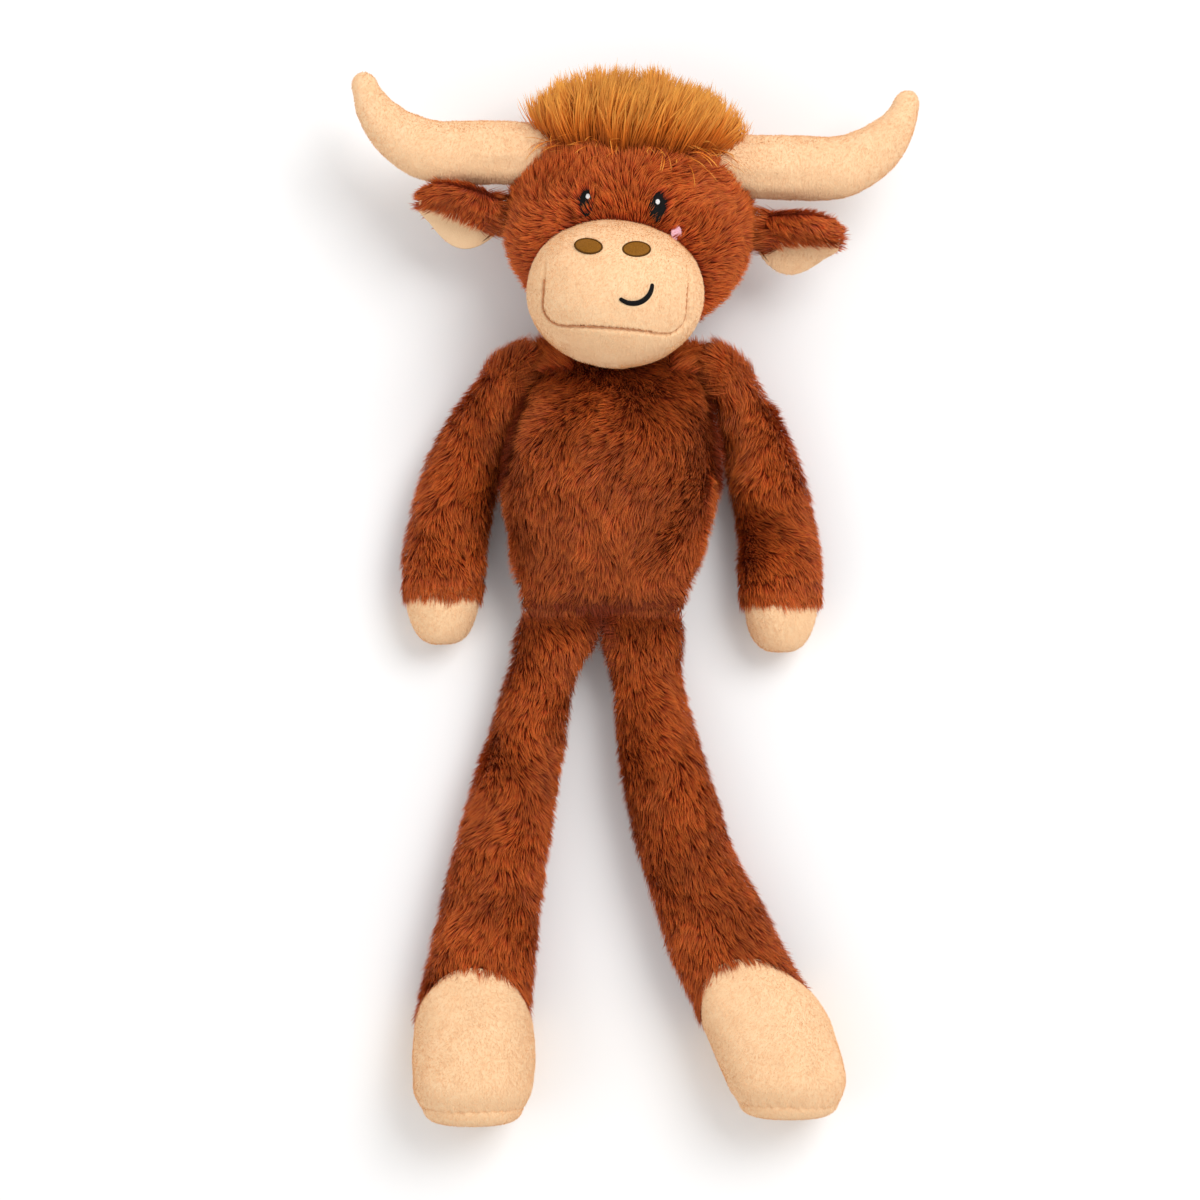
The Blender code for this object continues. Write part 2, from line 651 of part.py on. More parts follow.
def head_rings(count, sides, inset=0.0, end_inset=0.0, grow=0.0):
    """Rings of the head in its neck frame, from the crown down to the pinched neck edge."""
    low = math.asin(HEAD_NECK_WIDTH / HEAD_WIDTH)
    found = []
    for i in range(count):
        turn = math.pi - (i + 1) / (count + 1) * (math.pi - low)
        reach = math.sin(turn)
        half_height = HEAD_HEIGHT / 2 - inset + grow
        rise = HEAD_RISE - half_height * math.cos(turn)
        height = HEAD_DEPTH / 2 - FLAT_DEPTH - NECK_HEIGHT
        trim = inset * min(1.0, reach * 2) - grow
        half_width = HEAD_WIDTH / 2 * reach - trim
        found.append(ring((0, rise, height), half_width, HEAD_DEPTH / 2 * reach - trim, sides))
    neck = (0, SEAM_RADIUS + SEAM_GAP - grow, 0)
    trim = end_inset - grow * 2
    edge = ring(neck, HEAD_NECK_WIDTH / 2 - trim, HEAD_NECK_DEPTH / 2 - trim, sides)
    found.append(edge @ np.array(Matrix.Rotation(-HEAD_ROLL, 3, "Z")).T)
    return found


def head_surface(x, y, grow=0.0):
    """Height of the head's front over its neck frame at x and y."""
    wide = x / (HEAD_WIDTH / 2)
    tall = (y - HEAD_RISE) / (HEAD_HEIGHT / 2)
    bulge = np.sqrt(np.maximum(0.0, 1 - wide**2 - tall**2))
    return HEAD_DEPTH / 2 * (1 + bulge) - FLAT_DEPTH - NECK_HEIGHT + grow


def muzzle_points(inset, sides, rings):
    """A closed egg for the muzzle, drawn in by inset."""
    half = (MUZZLE_WIDTH / 2 - inset, MUZZLE_HEIGHT / 2 - inset, MUZZLE_DEPTH / 2 - inset)
    middle = (FACE_SHIFT, MUZZLE_RISE, MUZZLE_HEIGHT_OFF_BACK - NECK_HEIGHT)
    found = []
    for i in range(rings):
        turn = (i + 1) / (rings + 1) * math.pi
        centre = (middle[0], middle[1] - half[1] * math.cos(turn), middle[2])
        found.append(ring(centre, half[0] * math.sin(turn), half[2] * math.sin(turn), sides))
    return joined(found)


def muzzle_surface(x, y, grow=0.0):
    """Height of the muzzle's front over the neck frame at x and y."""
    wide = (x - FACE_SHIFT) / (MUZZLE_WIDTH / 2)
    tall = (y - MUZZLE_RISE) / (MUZZLE_HEIGHT / 2)
    bulge = np.sqrt(np.maximum(0.0, 1 - wide**2 - tall**2))
    return MUZZLE_HEIGHT_OFF_BACK - NECK_HEIGHT + MUZZLE_DEPTH / 2 * bulge + grow


def panel_block(name, grow, frame):
    """A block over the muzzle's front panel: straight sides, round lower corners, open above."""
    half = PANEL_WIDTH / 2 + grow
    low = MUZZLE_RISE + PANEL_BOTTOM - grow
    radius = PANEL_CORNER + grow
    high = MUZZLE_RISE + MUZZLE_HEIGHT
    outline = [(FACE_SHIFT + half, high), (FACE_SHIFT - half, high)]
    for side in (-1, 1):
        for i in range(CORNER_STEPS + 1):
            turn = i / CORNER_STEPS * SQUARE_TURN
            turn = turn if side < 0 else SQUARE_TURN - turn
            x = FACE_SHIFT + side * (half - radius + radius * math.cos(turn))
            outline.append((x, low + radius - radius * math.sin(turn)))
    back = MUZZLE_HEIGHT_OFF_BACK - NECK_HEIGHT - grow
    front = back + MUZZLE_DEPTH
    count = len(outline)
    points = [(x, y, back) for x, y in outline] + [(x, y, front) for x, y in outline]
    faces = [tuple(range(count)), tuple(range(2 * count - 1, count - 1, -1))]
    for i in range(count):
        j = (i + 1) % count
        faces.append((i, j, count + j, count + i))
    return cutter(name, points, faces, frame)


def surface_patch(name, x, y, width, height, tilt, under, look, frame, lift=0.0):
    """An oval of stitching that follows the surface under it."""
    angles = np.arange(PATCH_SIDES) * 2 * math.pi / PATCH_SIDES
    rings = []
    for share, top in [(s, False) for s in PATCH_RING_SHARES] + [(s, True) for s in PATCH_RING_SHARES[::-1]]:
        across = width / 2 * share * np.cos(angles)
        along = height / 2 * share * np.sin(angles)
        px = x + across * math.cos(tilt) - along * math.sin(tilt)
        py = y + across * math.sin(tilt) + along * math.cos(tilt)
        crown = STITCH_HEIGHT * (1 - (1 - STITCH_EDGE_SHARE) * share**4) if top else 0.0
        pz = under(px, py, SEAM_GAP + lift + crown)
        rings.append(np.stack([px, py, pz], axis=1))
    points, faces = joined(rings)
    for index, top in ((-2, False), (-1, True)):
        crown = STITCH_HEIGHT if top else 0.0
        height_here = under(np.array([x]), np.array([y]), SEAM_GAP + lift + crown)[0]
        points[index] = (x, y, float(height_here))
    return faced_out(mesh_piece(name, points, faces, look, frame))


def make_smile(frame):
    """A stitched arc that follows the muzzle's front."""
    found = []
    for i in range(SMILE_STEPS):
        share = i / (SMILE_STEPS - 1)
        turn = SMILE_FROM + (SMILE_TO - SMILE_FROM) * share
        swell = SMILE_END_SHARE + (1 - SMILE_END_SHARE) * math.sin(math.pi * share)
        thick = SMILE_WIDTH / 2 * swell
        section = []
        for step, top in ((-1, False), (1, False), (SMILE_TOP_SHARE, True), (-SMILE_TOP_SHARE, True)):
            radius = SMILE_RADIUS + step * thick
            px = SMILE_X + FACE_SHIFT + radius * math.cos(turn)
            py = SMILE_RISE + radius * math.sin(turn)
            crown = STITCH_HEIGHT if top else 0.0
            pz = float(muzzle_surface(np.array(px), np.array(py), SEAM_GAP + crown))
            section.append((px, py, pz))
        found.append(section)
    look = fabric("black thread", DARK_THREAD, THREAD_ROUGHNESS)
    return faced_out(mesh_piece("smile", *joined(found), look, frame))


def make_face(frame, head_guide):
    minky = fabric("peach minky", PEACH_MINKY)
    outside = muzzle_points(0, MUZZLE_SIDES, MUZZLE_RINGS)
    inside = muzzle_points(SMOOTH_FABRIC, MUZZLE_SIDES, MUZZLE_RINGS)
    hollow = cutter("muzzle_hollow_guide", *inside, frame)
    inside_block = panel_block("panel_guide", 0, frame)
    outside_block = panel_block("chin_guide", SEAM_GAP, frame)
    nose = faced_out(mesh_piece("nose_panel", *outside, minky, frame))
    chin = faced_out(mesh_piece("chin_panel", *outside, minky, frame))
    for piece, block, step in ((nose, inside_block, "INTERSECT"), (chin, outside_block, "DIFFERENCE")):
        cut(piece, hollow)
        cut(piece, head_guide)
        cut(piece, block, step)
    filling = fabric("polyester filling", FILLING)
    core = muzzle_points(SMOOTH_FABRIC + FILL_GAP * 3, MUZZLE_CORE_SIDES, MUZZLE_CORE_RINGS)
    cut(faced_out(mesh_piece("muzzle_stuffing", *core, filling, frame)), head_guide)

    grown = muzzle_points(-CUT_GAP, MUZZLE_SIDES, MUZZLE_RINGS)
    muzzle_guide = cutter("muzzle_guide", *grown, frame)
    black = fabric("black thread", DARK_THREAD, THREAD_ROUGHNESS)
    white = fabric("white thread", PALE_THREAD, THREAD_ROUGHNESS)
    brown = fabric("nostril thread", NOSTRIL_THREAD, THREAD_ROUGHNESS)
    pink = fabric("cheek felt", CHEEK_FELT)
    for word, side in (("left", -1), ("right", 1)):
        x = FACE_SHIFT + side * EYE_SPREAD
        surface_patch("eye_" + word, x, EYE_RISE, EYE_WIDTH, EYE_HEIGHT, 0, head_surface, black, frame)
        lift = STITCH_HEIGHT + SEAM_GAP
        name = "eye_highlight_" + word
        rise = EYE_RISE + HIGHLIGHT_RISE
        surface_patch(name, x, rise, HIGHLIGHT_WIDTH, HIGHLIGHT_HEIGHT, 0, head_surface, white, frame, lift)
        x = FACE_SHIFT + NOSTRIL_SHIFT + side * NOSTRIL_SPREAD
        name = "nostril_" + word
        oval = (NOSTRIL_WIDTH, NOSTRIL_HEIGHT, side * NOSTRIL_TILT)
        surface_patch(name, x, NOSTRIL_RISE, *oval, muzzle_surface, brown, frame)
        x = FACE_SHIFT + side * CHEEK_SPREAD
        name = "cheek_" + word
        cheek = surface_patch(name, x, CHEEK_RISE, CHEEK_WIDTH, CHEEK_HEIGHT, 0, head_surface, pink, frame)
        cut(cheek, muzzle_guide)
    make_smile(frame)


def horn_rings(side, tilt, inset, sides, count, tip_gap):
    """Rings along a horn: a straight run out from the head, then a bend up to a blunt tip."""
    total = HORN_RUN + HORN_BEND_RADIUS * HORN_BEND
    shares = np.linspace(0, 1, len(HORN_THICKNESS_SHARES))
    found = []
    for i in range(count):
        share = i / (count - 1)
        run = share * (total - tip_gap)
        if run < HORN_RUN:
            out, up, heading = run, 0.0, 0.0
        else:
            heading = (run - HORN_RUN) / HORN_BEND_RADIUS
            out = HORN_RUN + HORN_BEND_RADIUS * math.sin(heading)
            up = HORN_BEND_RADIUS * (1 - math.cos(heading))
        thick = np.interp(share, shares, HORN_THICKNESS_SHARES) * HORN_THICKNESS / 2 - inset
        angle = heading + tilt
        x = out * math.cos(tilt) - up * math.sin(tilt)
        y = out * math.sin(tilt) + up * math.cos(tilt)
        middle = (side * (HORN_ROOT_X + x), HORN_RISE + y, HORN_HEIGHT - NECK_HEIGHT)
        found.append(turned_ring(middle, side * (angle - SQUARE_TURN), thick, thick, sides))
    return found


def make_horns(frame, head_guide):
    minky = fabric("peach minky", PEACH_MINKY)
    filling = fabric("polyester filling", FILLING)
    for word, side, tilt in (("left", -1, HORN_TILT_LEFT), ("right", 1, HORN_TILT_RIGHT)):
        outer = horn_rings(side, tilt, 0, HORN_SIDES, HORN_RINGS, 0)
        inner = horn_rings(side, tilt, SMOOTH_FABRIC, HORN_SIDES, HORN_RINGS, SMOOTH_FABRIC)
        skin = mesh_piece("horn_" + word, *shell(outer[::-1], inner[::-1]), minky, frame)
        cut(faced_out(skin), head_guide)
        inset = SMOOTH_FABRIC + FILL_GAP
        core = horn_rings(side, tilt, inset, HORN_CORE_SIDES, HORN_RINGS, 2 * SMOOTH_FABRIC)
        core = mesh_piece("horn_stuffing_" + word, *joined(core), filling, frame)
        cut(faced_out(core), head_guide)


def ear_half_width(u):
    """Half an ear's width at a share of its length: a leaf with a broad root."""
    turn = math.pi * (EAR_OUTLINE_FROM_SHARE + EAR_OUTLINE_RUN_SHARE * u)
    half = EAR_WIDTH / 2 * math.sin(turn) ** EAR_FULLNESS
    if u < EAR_ROOT_RUN_SHARE:
        return max(half, EAR_WIDTH / 2 * EAR_ROOT_SHARE)
    return half


def ear_sheet(side, near, far, width_share=1.0):
    """A cupped leaf between two offsets from its middle sheet, in the ear's own frame.

    It runs along -X or +X from its root, across Y, with its lining towards -Z.
    Its far face thins towards the sides and the tip.
    """
    points = []
    for offset, thinned in ((near, False), (far, True)):
        for i in range(EAR_ROWS):
            u = i / (EAR_ROWS - 1)
            half = ear_half_width(u) * width_share
            pinch = min(1.0, EAR_PINCH_SHARE + EAR_PINCH_GROWTH * u)
            bend = math.sin(math.pi * min(1.0, u + EAR_CUP_FROM_SHARE))
            for j in range(EAR_COLUMNS + 1):
                v = 2 * j / EAR_COLUMNS - 1
                thick = offset * pinch
                if thinned:
                    thick *= 1 - EAR_SIDE_THINNING_SHARE * abs(v) ** 3 - EAR_TIP_THINNING_SHARE * u**4
                x = side * (EAR_SEAM_RADIUS + SEAM_GAP + u * EAR_LENGTH)
                points.append((x, half * v, thick - EAR_CUP * v * v * bend))
    faces = []
    wide = EAR_COLUMNS + 1
    layer = EAR_ROWS * wide
    for i in range(EAR_ROWS - 1):
        for j in range(EAR_COLUMNS):
            a = i * wide + j
            quad = (a, a + 1, a + wide + 1, a + wide)
            faces.append(quad)
            faces.append(tuple(layer + v for v in reversed(quad)))
    for j in range(EAR_COLUMNS):
        for i in (0, EAR_ROWS - 1):
            a = i * wide + j
            faces.append((a, layer + a, layer + a + 1, a + 1))
    for i in range(EAR_ROWS - 1):
        for j in (0, EAR_COLUMNS):
            a = i * wide + j
            faces.append((a, a + wide, layer + a + wide, layer + a))
    return points, faces


def make_ear(word, side, rise, droop, head):
    """An ear on its root seam at the side of the head."""
    level = math.sqrt(1 - ((rise - HEAD_RISE) / (HEAD_HEIGHT / 2)) ** 2)
    reach = HEAD_WIDTH / 2 * level + SEAM_GAP + EAR_SEAM_RADIUS
    place = (side * reach, rise, EAR_HEIGHT - NECK_HEIGHT)
    frame = joint_frame("ear_axis_" + word, place, -side * droop, head)
    turned = joint_frame("ear_turn_" + word, (0, 0, 0), 0, frame)
    turned.rotation_euler = (-EAR_TURN - SQUARE_TURN, 0, 0)
    fur = fabric("brown plush", BROWN_FUR)
    minky = fabric("peach minky", PEACH_MINKY)
    near = SEAM_GAP / 2
    back = ear_sheet(side, near, near + EAR_BACK_THICKNESS)
    faced_out(mesh_piece("ear_back_" + word, *back, fur, turned))
    lining = ear_sheet(side, -near, -near - EAR_LINING_THICKNESS, EAR_LINING_WIDTH_SHARE)
    faced_out(mesh_piece("ear_lining_" + word, *lining, minky, turned))
    seam_rod("ear_seam_" + word, (0, 0, 0), EAR_SEAM_LENGTH, "Y", turned, EAR_SEAM_RADIUS)


def make_forelock(frame, head_guide):
    """The long pile on the crown, as one fan-shaped tuft."""
    found = []
    for i in range(FORELOCK_RINGS):
        turn = (i + 1) / (FORELOCK_RINGS + 1) * math.pi
        reach = math.sin(turn) ** FORELOCK_FULLNESS
        half_width = FORELOCK_WIDTH / 2 * reach * (1 + FORELOCK_FAN_SHARE * math.cos(turn))
        centre = (0, -FORELOCK_HEIGHT / 2 * math.cos(turn), 0)
        found.append(ring(centre, half_width, FORELOCK_DEPTH / 2 * reach, FORELOCK_SIDES))
    points, faces = joined(found)
    lean = Matrix.Rotation(FORELOCK_TILT, 3, "X")
    middle = Vector((FORELOCK_X, FORELOCK_RISE, FORELOCK_HEIGHT_OFF_BACK - NECK_HEIGHT))
    points = [tuple(lean @ Vector(p) + middle) for p in points]
    tuft = mesh_piece("forelock", points, faces, fabric("golden long pile", GOLDEN_FUR), frame)
    cut(faced_out(tuft), head_guide)
    return tuft


def make_head():
    frame = joint_frame("neck_axis", (NECK_X, NECK_Y, NECK_HEIGHT), HEAD_ROLL)
    fur = fabric("brown plush", BROWN_FUR)
    outer = head_rings(BODY_RINGS, BODY_SIDES)
    inner = head_rings(BODY_RINGS, BODY_SIDES, FUR_FABRIC, SMOOTH_FABRIC)
    skin = faced_out(mesh_piece("head_skin", *shell(outer, inner), fur, frame))
    flat_below(skin)
    core = head_rings(CORE_RINGS, CORE_SIDES, FUR_FABRIC + FILL_GAP + SEAM_GAP)[:-1]
    faced_out(mesh_piece("head_stuffing", *joined(core), fabric("polyester filling", FILLING), frame))
    guide = cutter("head_guide", *joined(head_rings(BODY_RINGS, BODY_SIDES, grow=CUT_GAP)), frame)
    make_face(frame, guide)
    make_horns(frame, guide)
    make_forelock(frame, guide)
    make_ear("left", -1, EAR_RISE_LEFT, EAR_DROOP_LEFT, frame)
    make_ear("right", 1, EAR_RISE_RIGHT, EAR_DROOP_RIGHT, frame)
    seam_rod("neck_seam", (NECK_X, NECK_Y, NECK_HEIGHT), NECK_SEAM_LENGTH, "X")


def main():
    clear_scene()
    make_torso()
    body_guide = cutter("torso_guide", *joined(torso_rings(BODY_RINGS, BODY_SIDES, -CUT_GAP, -CUT_GAP)))
    left = (SHOULDER_LEFT_X, SHOULDER_Y, SHOULDER_HEIGHT)
    right = (SHOULDER_RIGHT_X, SHOULDER_Y, SHOULDER_HEIGHT)
    make_arm("left", -1, left, ARM_CURVE_LEFT, ARM_SPREAD_LEFT, body_guide)
    make_arm("right", 1, right, ARM_CURVE_RIGHT, ARM_SPREAD_RIGHT, body_guide)
    make_leg("left", -1, HIP_LEFT_X, LEG_REACH_LEFT, LEG_BOW_LEFT, FOOT_SPLAY_LEFT)
    make_leg("right", 1, HIP_RIGHT_X, LEG_REACH_RIGHT, LEG_BOW_RIGHT, FOOT_SPLAY_RIGHT)
    make_head()


if __name__ == "__main__":
    main()
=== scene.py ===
"""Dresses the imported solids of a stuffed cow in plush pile, minky and stitching.

All sizes are in metres, in the frame of the solids: X to the right, Y from the feet to the head,
Z up from the surface that the cow lies on.
"""

import math

import bpy
import numpy as np
from bpy.props import FloatProperty, FloatVectorProperty, PointerProperty
from mathutils import Matrix, Vector


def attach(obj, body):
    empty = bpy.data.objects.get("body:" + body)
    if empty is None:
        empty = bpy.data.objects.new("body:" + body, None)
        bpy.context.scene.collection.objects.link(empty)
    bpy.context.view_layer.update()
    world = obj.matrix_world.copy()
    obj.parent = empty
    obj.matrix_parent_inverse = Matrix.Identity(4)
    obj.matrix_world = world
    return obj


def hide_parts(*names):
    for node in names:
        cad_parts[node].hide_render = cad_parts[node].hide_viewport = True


bl_info = {
    "name": "Plush cow",
    "version": (1, 0, 0),
    "blender": (4, 5, 0),
    "location": "View3D > Sidebar > Plush cow",
    "description": "Dresses the solids of a stuffed cow in plush, minky and stitching",
    "category": "Object",
}

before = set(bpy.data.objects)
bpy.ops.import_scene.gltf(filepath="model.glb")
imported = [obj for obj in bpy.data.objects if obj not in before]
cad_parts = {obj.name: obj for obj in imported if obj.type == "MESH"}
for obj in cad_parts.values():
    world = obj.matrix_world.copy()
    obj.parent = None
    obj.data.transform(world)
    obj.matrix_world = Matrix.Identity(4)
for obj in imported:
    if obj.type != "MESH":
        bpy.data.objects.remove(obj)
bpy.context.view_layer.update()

# Fits
SEAM_GAP = 0.0003
FLAT_DEPTH = 0.0005
PILE_ROOT = 0.0042
MINKY_THICKNESS = 0.0016

# Torso
TORSO_LENGTH = 0.1145
TORSO_WIDTH = 0.0985
TORSO_DEPTH = 0.0765
TORSO_BOTTOM = -0.0598
TORSO_LEAN = 0.0085
TORSO_LENGTH_SHARES = (0.0, 0.08, 0.18, 0.34, 0.5, 0.62, 0.76, 0.88, 0.955, 1.0)
TORSO_WIDTH_SHARES = (0.71, 0.79, 0.89, 0.98, 1.0, 0.97, 0.88, 0.82, 0.79, 0.745)
TORSO_FRONT_SHARES = (0.368, 0.475, 0.625, 0.86, 0.98, 1.0, 0.92, 0.735, 0.565, 0.465)
TORSO_BACK_SHARES = (0.317, 0.225, 0.12, 0.02, 0.0, 0.0, 0.0, 0.07, 0.19, 0.385)

# Simulated cloth: its pressure, the frames it runs for, how far it may move a skin, and the size of
# its faces
CLOTH_PRESSURE = 4.0
CLOTH_FRAMES = 20
CLOTH_CAP = 0.0014
CLOTH_FACE = 0.0042
FINE_CLOTH_FACE = 0.003

# Rows and columns of the grids
TORSO_GRID = (150, 180)
HEAD_GRID = (150, 190)
MUZZLE_GRID = (90, 300)
ARM_GRID = (120, 120)
HOOF_GRID = (90, 110)
LEG_GRID = (160, 130)
FOOT_GRID = (110, 140)
SOLE_ROWS = 50
HORN_GRID = (170, 80)
EAR_GRID = (60, 60)
EAR_LIP_GRID = (50, 24)
EAR_ROOT_GRID = (12, 40)
FORELOCK_GRID = (40, 80)
STITCH_GRID = (34, 120)
SMILE_GRID = (150, 28)
THREAD_SIDES = 10
NOSTRIL_BORDER_STEPS = 160
SEAM_THREAD_STEPS = 900

# Joint places
SEAM_RADIUS = 0.002
NECK = np.array((0.0045, 0.0570, 0.0330))
SHOULDERS = {"left": (-0.035241, 0.0561, 0.0330), "right": (0.043941, 0.0561, 0.0330)}
HIPS = {"left": (-0.0236, -0.0621, 0.0262), "right": (0.0148, -0.0621, 0.0262)}
SIDES = {"left": -1, "right": 1}
CROTCH_X = -0.0044

# Arms
ARM_LENGTH = 0.1175
ARM_WIDTH = 0.0372
ARM_DEPTH = 0.0350
ARM_CURVES = {"left": math.radians(39), "right": math.radians(34)}
ARM_SPREADS = {"left": math.radians(0.5), "right": math.radians(-1)}
ARM_LENGTH_SHARES = (0.0, 0.1, 0.24, 0.42, 0.6, 0.8, 0.93, 1.0)
ARM_WIDTH_SHARES = (0.10, 0.48, 0.76, 0.94, 1.0, 1.0, 0.97, 0.93)
ARM_DEPTH_SHARES = (0.46, 0.58, 0.76, 0.92, 1.0, 1.0, 0.97, 0.93)
ARM_SETTLE_SHARE = 0.5
HOOF_LENGTH = 0.0228
HOOF_WIDTH = 0.0345
HOOF_DEPTH = 0.0335
HOOF_TUCK = 0.0030

# Legs
LEG_LENGTH = 0.1860
LEG_WIDTH = 0.0530
LEG_DEPTH = 0.0440
LEG_REACHES = {"left": 0.0387, "right": 0.0509}
LEG_BOWS = {"left": 0.0030, "right": -0.0110}
LEG_LENGTH_SHARES = (0.0, 0.08, 0.2, 0.36, 0.52, 0.7, 0.86, 1.0)
LEG_WIDTH_SHARES = (0.56, 0.62, 0.66, 0.74, 0.81, 0.88, 0.96, 1.0)
LEG_DEPTH_SHARES = (0.09, 0.48, 0.72, 0.84, 0.90, 0.96, 1.0, 1.0)
LEG_SETTLE_SHARE = 0.36
LEG_TURN_SHARE = 0.3
LEG_SQUARE_SHARE = 0.7
FOOT_LENGTH = 0.0400
FOOT_SPLAYS = {"left": 0.0, "right": 0.72}
FOOT_SQUARENESS = 2.3
CUFF_ARCH = 0.0200
CUFF_ROOT = 0.0011
FOOT_WIDTH = 0.0545
FOOT_DEPTH = 0.0540
FOOT_LENGTH_SHARES = (0.0, 0.3, 0.6, 0.82, 1.0)
FOOT_WIDTH_SHARES = (0.92, 0.99, 1.0, 0.97, 0.86)
FOOT_DEPTH_SHARES = (0.80, 0.89, 0.98, 1.0, 0.91)
SOLE_BULGE = 0.0065
SOLE_TUCK = 0.0022

# Head and face
HEAD_WIDTH = 0.1135
HEAD_HEIGHT = 0.1060
HEAD_DEPTH = 0.0920
HEAD_RISE = 0.0532
HEAD_ROLL = math.radians(-4)
HEAD_NECK_WIDTH = 0.044
HEAD_NECK_DEPTH = 0.007
FACE_SHIFT = -0.0042
MUZZLE_WIDTH = 0.0780
MUZZLE_HEIGHT = 0.0655
MUZZLE_DEPTH = 0.0760
MUZZLE_RISE = 0.0208
MUZZLE_HEIGHT_OFF_BACK = 0.0740
PANEL_WIDTH = 0.0640
PANEL_BOTTOM = -0.0185
PANEL_CORNER = 0.0100
EYE_SPREAD = 0.0160
EYE_RISE = 0.0585
EYE_WIDTH = 0.0084
EYE_HEIGHT = 0.0140
EYE_DEPTH = 0.0018
HIGHLIGHT_WIDTH = 0.0026
HIGHLIGHT_HEIGHT = 0.0032
HIGHLIGHT_RISE = 0.0028
NOSTRIL_SHIFT = -0.0025
NOSTRIL_SPREAD = 0.0104
NOSTRIL_RISE = 0.0375
NOSTRIL_WIDTH = 0.0118
NOSTRIL_HEIGHT = 0.0066
NOSTRIL_TILT = math.radians(6)
SMILE_X = 0.0073
SMILE_RISE = 0.0220
SMILE_RADIUS = 0.0084
SMILE_WIDTH = 0.0023
SMILE_FROM = math.radians(232)
SMILE_TO = math.radians(366)
CHEEK_SPREAD = 0.0268
CHEEK_RISE = 0.0482
CHEEK_WIDTH = 0.0096
CHEEK_HEIGHT = 0.0116

# What shows of the highlights and cheeks: shares of the solids' sizes, and shifts from their middles
HIGHLIGHT_SHARE = 0.8
HIGHLIGHT_SHIFTS = {"left": (0.0012, -0.0008), "right": (-0.0003, -0.0012)}
CHEEK_SHARES = (0.5, 0.55)
CHEEK_SHIFT = (-0.0020, -0.0006)
CHEEK_DEPTHS = {"left": 0.0066, "right": 0.0026}
CHEEK_PITCH = 0.0011

# Horns, ears and forelock
HORN_THICKNESS = 0.0262
HORN_RUN = 0.0420
HORN_BEND_RADIUS = 0.0400
HORN_BEND = math.radians(82)
HORN_ROOT_X = 0.0400
HORN_RISE = 0.0815
HORN_HEIGHT = 0.0500
HORN_TILTS = {"left": math.radians(-3), "right": math.radians(3)}
HORN_THICKNESS_SHARES = (1.0, 1.02, 1.05, 1.06, 1.02, 0.93, 0.78, 0.57, 0.33)
EAR_SEAM_RADIUS = 0.0010
EAR_LENGTH = 0.0350
EAR_WIDTH = 0.0360
EAR_BACK_THICKNESS = 0.0048
EAR_LINING_THICKNESS = 0.0020
EAR_CUP = 0.0060
EAR_RISES = {"left": 0.0545, "right": 0.0555}
EAR_HEIGHT = 0.0460
EAR_TURN = math.radians(41)
EAR_DROOPS = {"left": math.radians(-4), "right": math.radians(5)}
EAR_ROOT_SHARE = 0.45
EAR_OUTLINE_FROM_SHARE = 0.16
EAR_OUTLINE_RUN_SHARE = 0.80
EAR_FULLNESS = 0.8
EAR_LIP_START = 0.0020
EAR_LIP_DEPTHS = (0.0046, 0.0034)
EAR_LINING_WIDTH_SHARE = 0.93
FORELOCK_WIDTH = 0.0920
FORELOCK_HEIGHT = 0.0560
FORELOCK_DEPTH = 0.0300
FORELOCK_RISE = 0.1015
FORELOCK_HEIGHT_OFF_BACK = 0.0680
FORELOCK_TILT = math.radians(-38)
FORELOCK_X = -0.0010

# The long pile: where its wisps stand on the crown, from a curved front edge backwards
CROWN_HALF_WIDTH = 0.0460
CROWN_FRONT = 0.0815
CROWN_FRONT_RISE = 0.0045
CROWN_FRONT_REACH = 0.0455
CROWN_DEPTH = 0.0215
LONG_WISP_WIDTH = 0.00042
STRAY_WISPS = 170

# Fringes that cover the seams: length, then the angle from upright at the root and at the tip.
# The hip fringe's length varies along the seam.
FRINGES = {
    "chin": (0.0085, (0.95, 1.5)),
    "flank": (0.0080, (0.15, 0.9)),
    "waist": (0.0074, (0.45, 1.2)),
    "hip": (None, (0.9, 1.6)),
    "crotch": (0.0135, (1.1, 1.55)),
    "neck": (0.0085, (0.95, 1.5)),
    "shoulder": (0.0095, (0.5, 1.3)),
    "arm": (0.0085, (0.6, 1.4)),
    "cuff": (0.0070, (0.8, 1.56)),
    "leg": (0.0056, (0.95, 1.5)),
    "leg_inner": (0.0066, (0.2, 1.0)),
    "ankle": (0.0080, (0.7, 1.42)),
    "ear_root": (0.0098, (0.95, 1.5)),
}

# The camera looks straight down. VIEW_SPAN is what its square frame covers at VIEW_LEVEL.
VIEW_X = -0.00495
VIEW_Y = -0.05715
VIEW_HEIGHT = 1.83
VIEW_LEVEL = 0.03
VIEW_SPAN = 0.540

# Stage: the floor's reach and how far it lies below the cow, the sky, and each lamp's name, place,
# width and power
FLOOR_REACH = 12.0
FLOOR_GAP = 0.0003
SKY_STRENGTH = 0.68
LAMPS = (("key lamp", (1.00, 0.95, 2.00), 1.3, 32.0), ("side lamp", (-1.6, -0.4, 1.6), 1.4, 6.0))
LAMP_TARGET = (0, -0.03, 0.03)

# Colours made from the user's own: the darker pile that paints the shade in the creases, from root to tip,
# and the velvet's tip
PAINTED_SHADE_PILE = (("fur_root", 0.6), ("fur_middle", 0.42), ("fur_middle", 0.62))
NAP_TIP = (0.98, 0.68, 0.42)

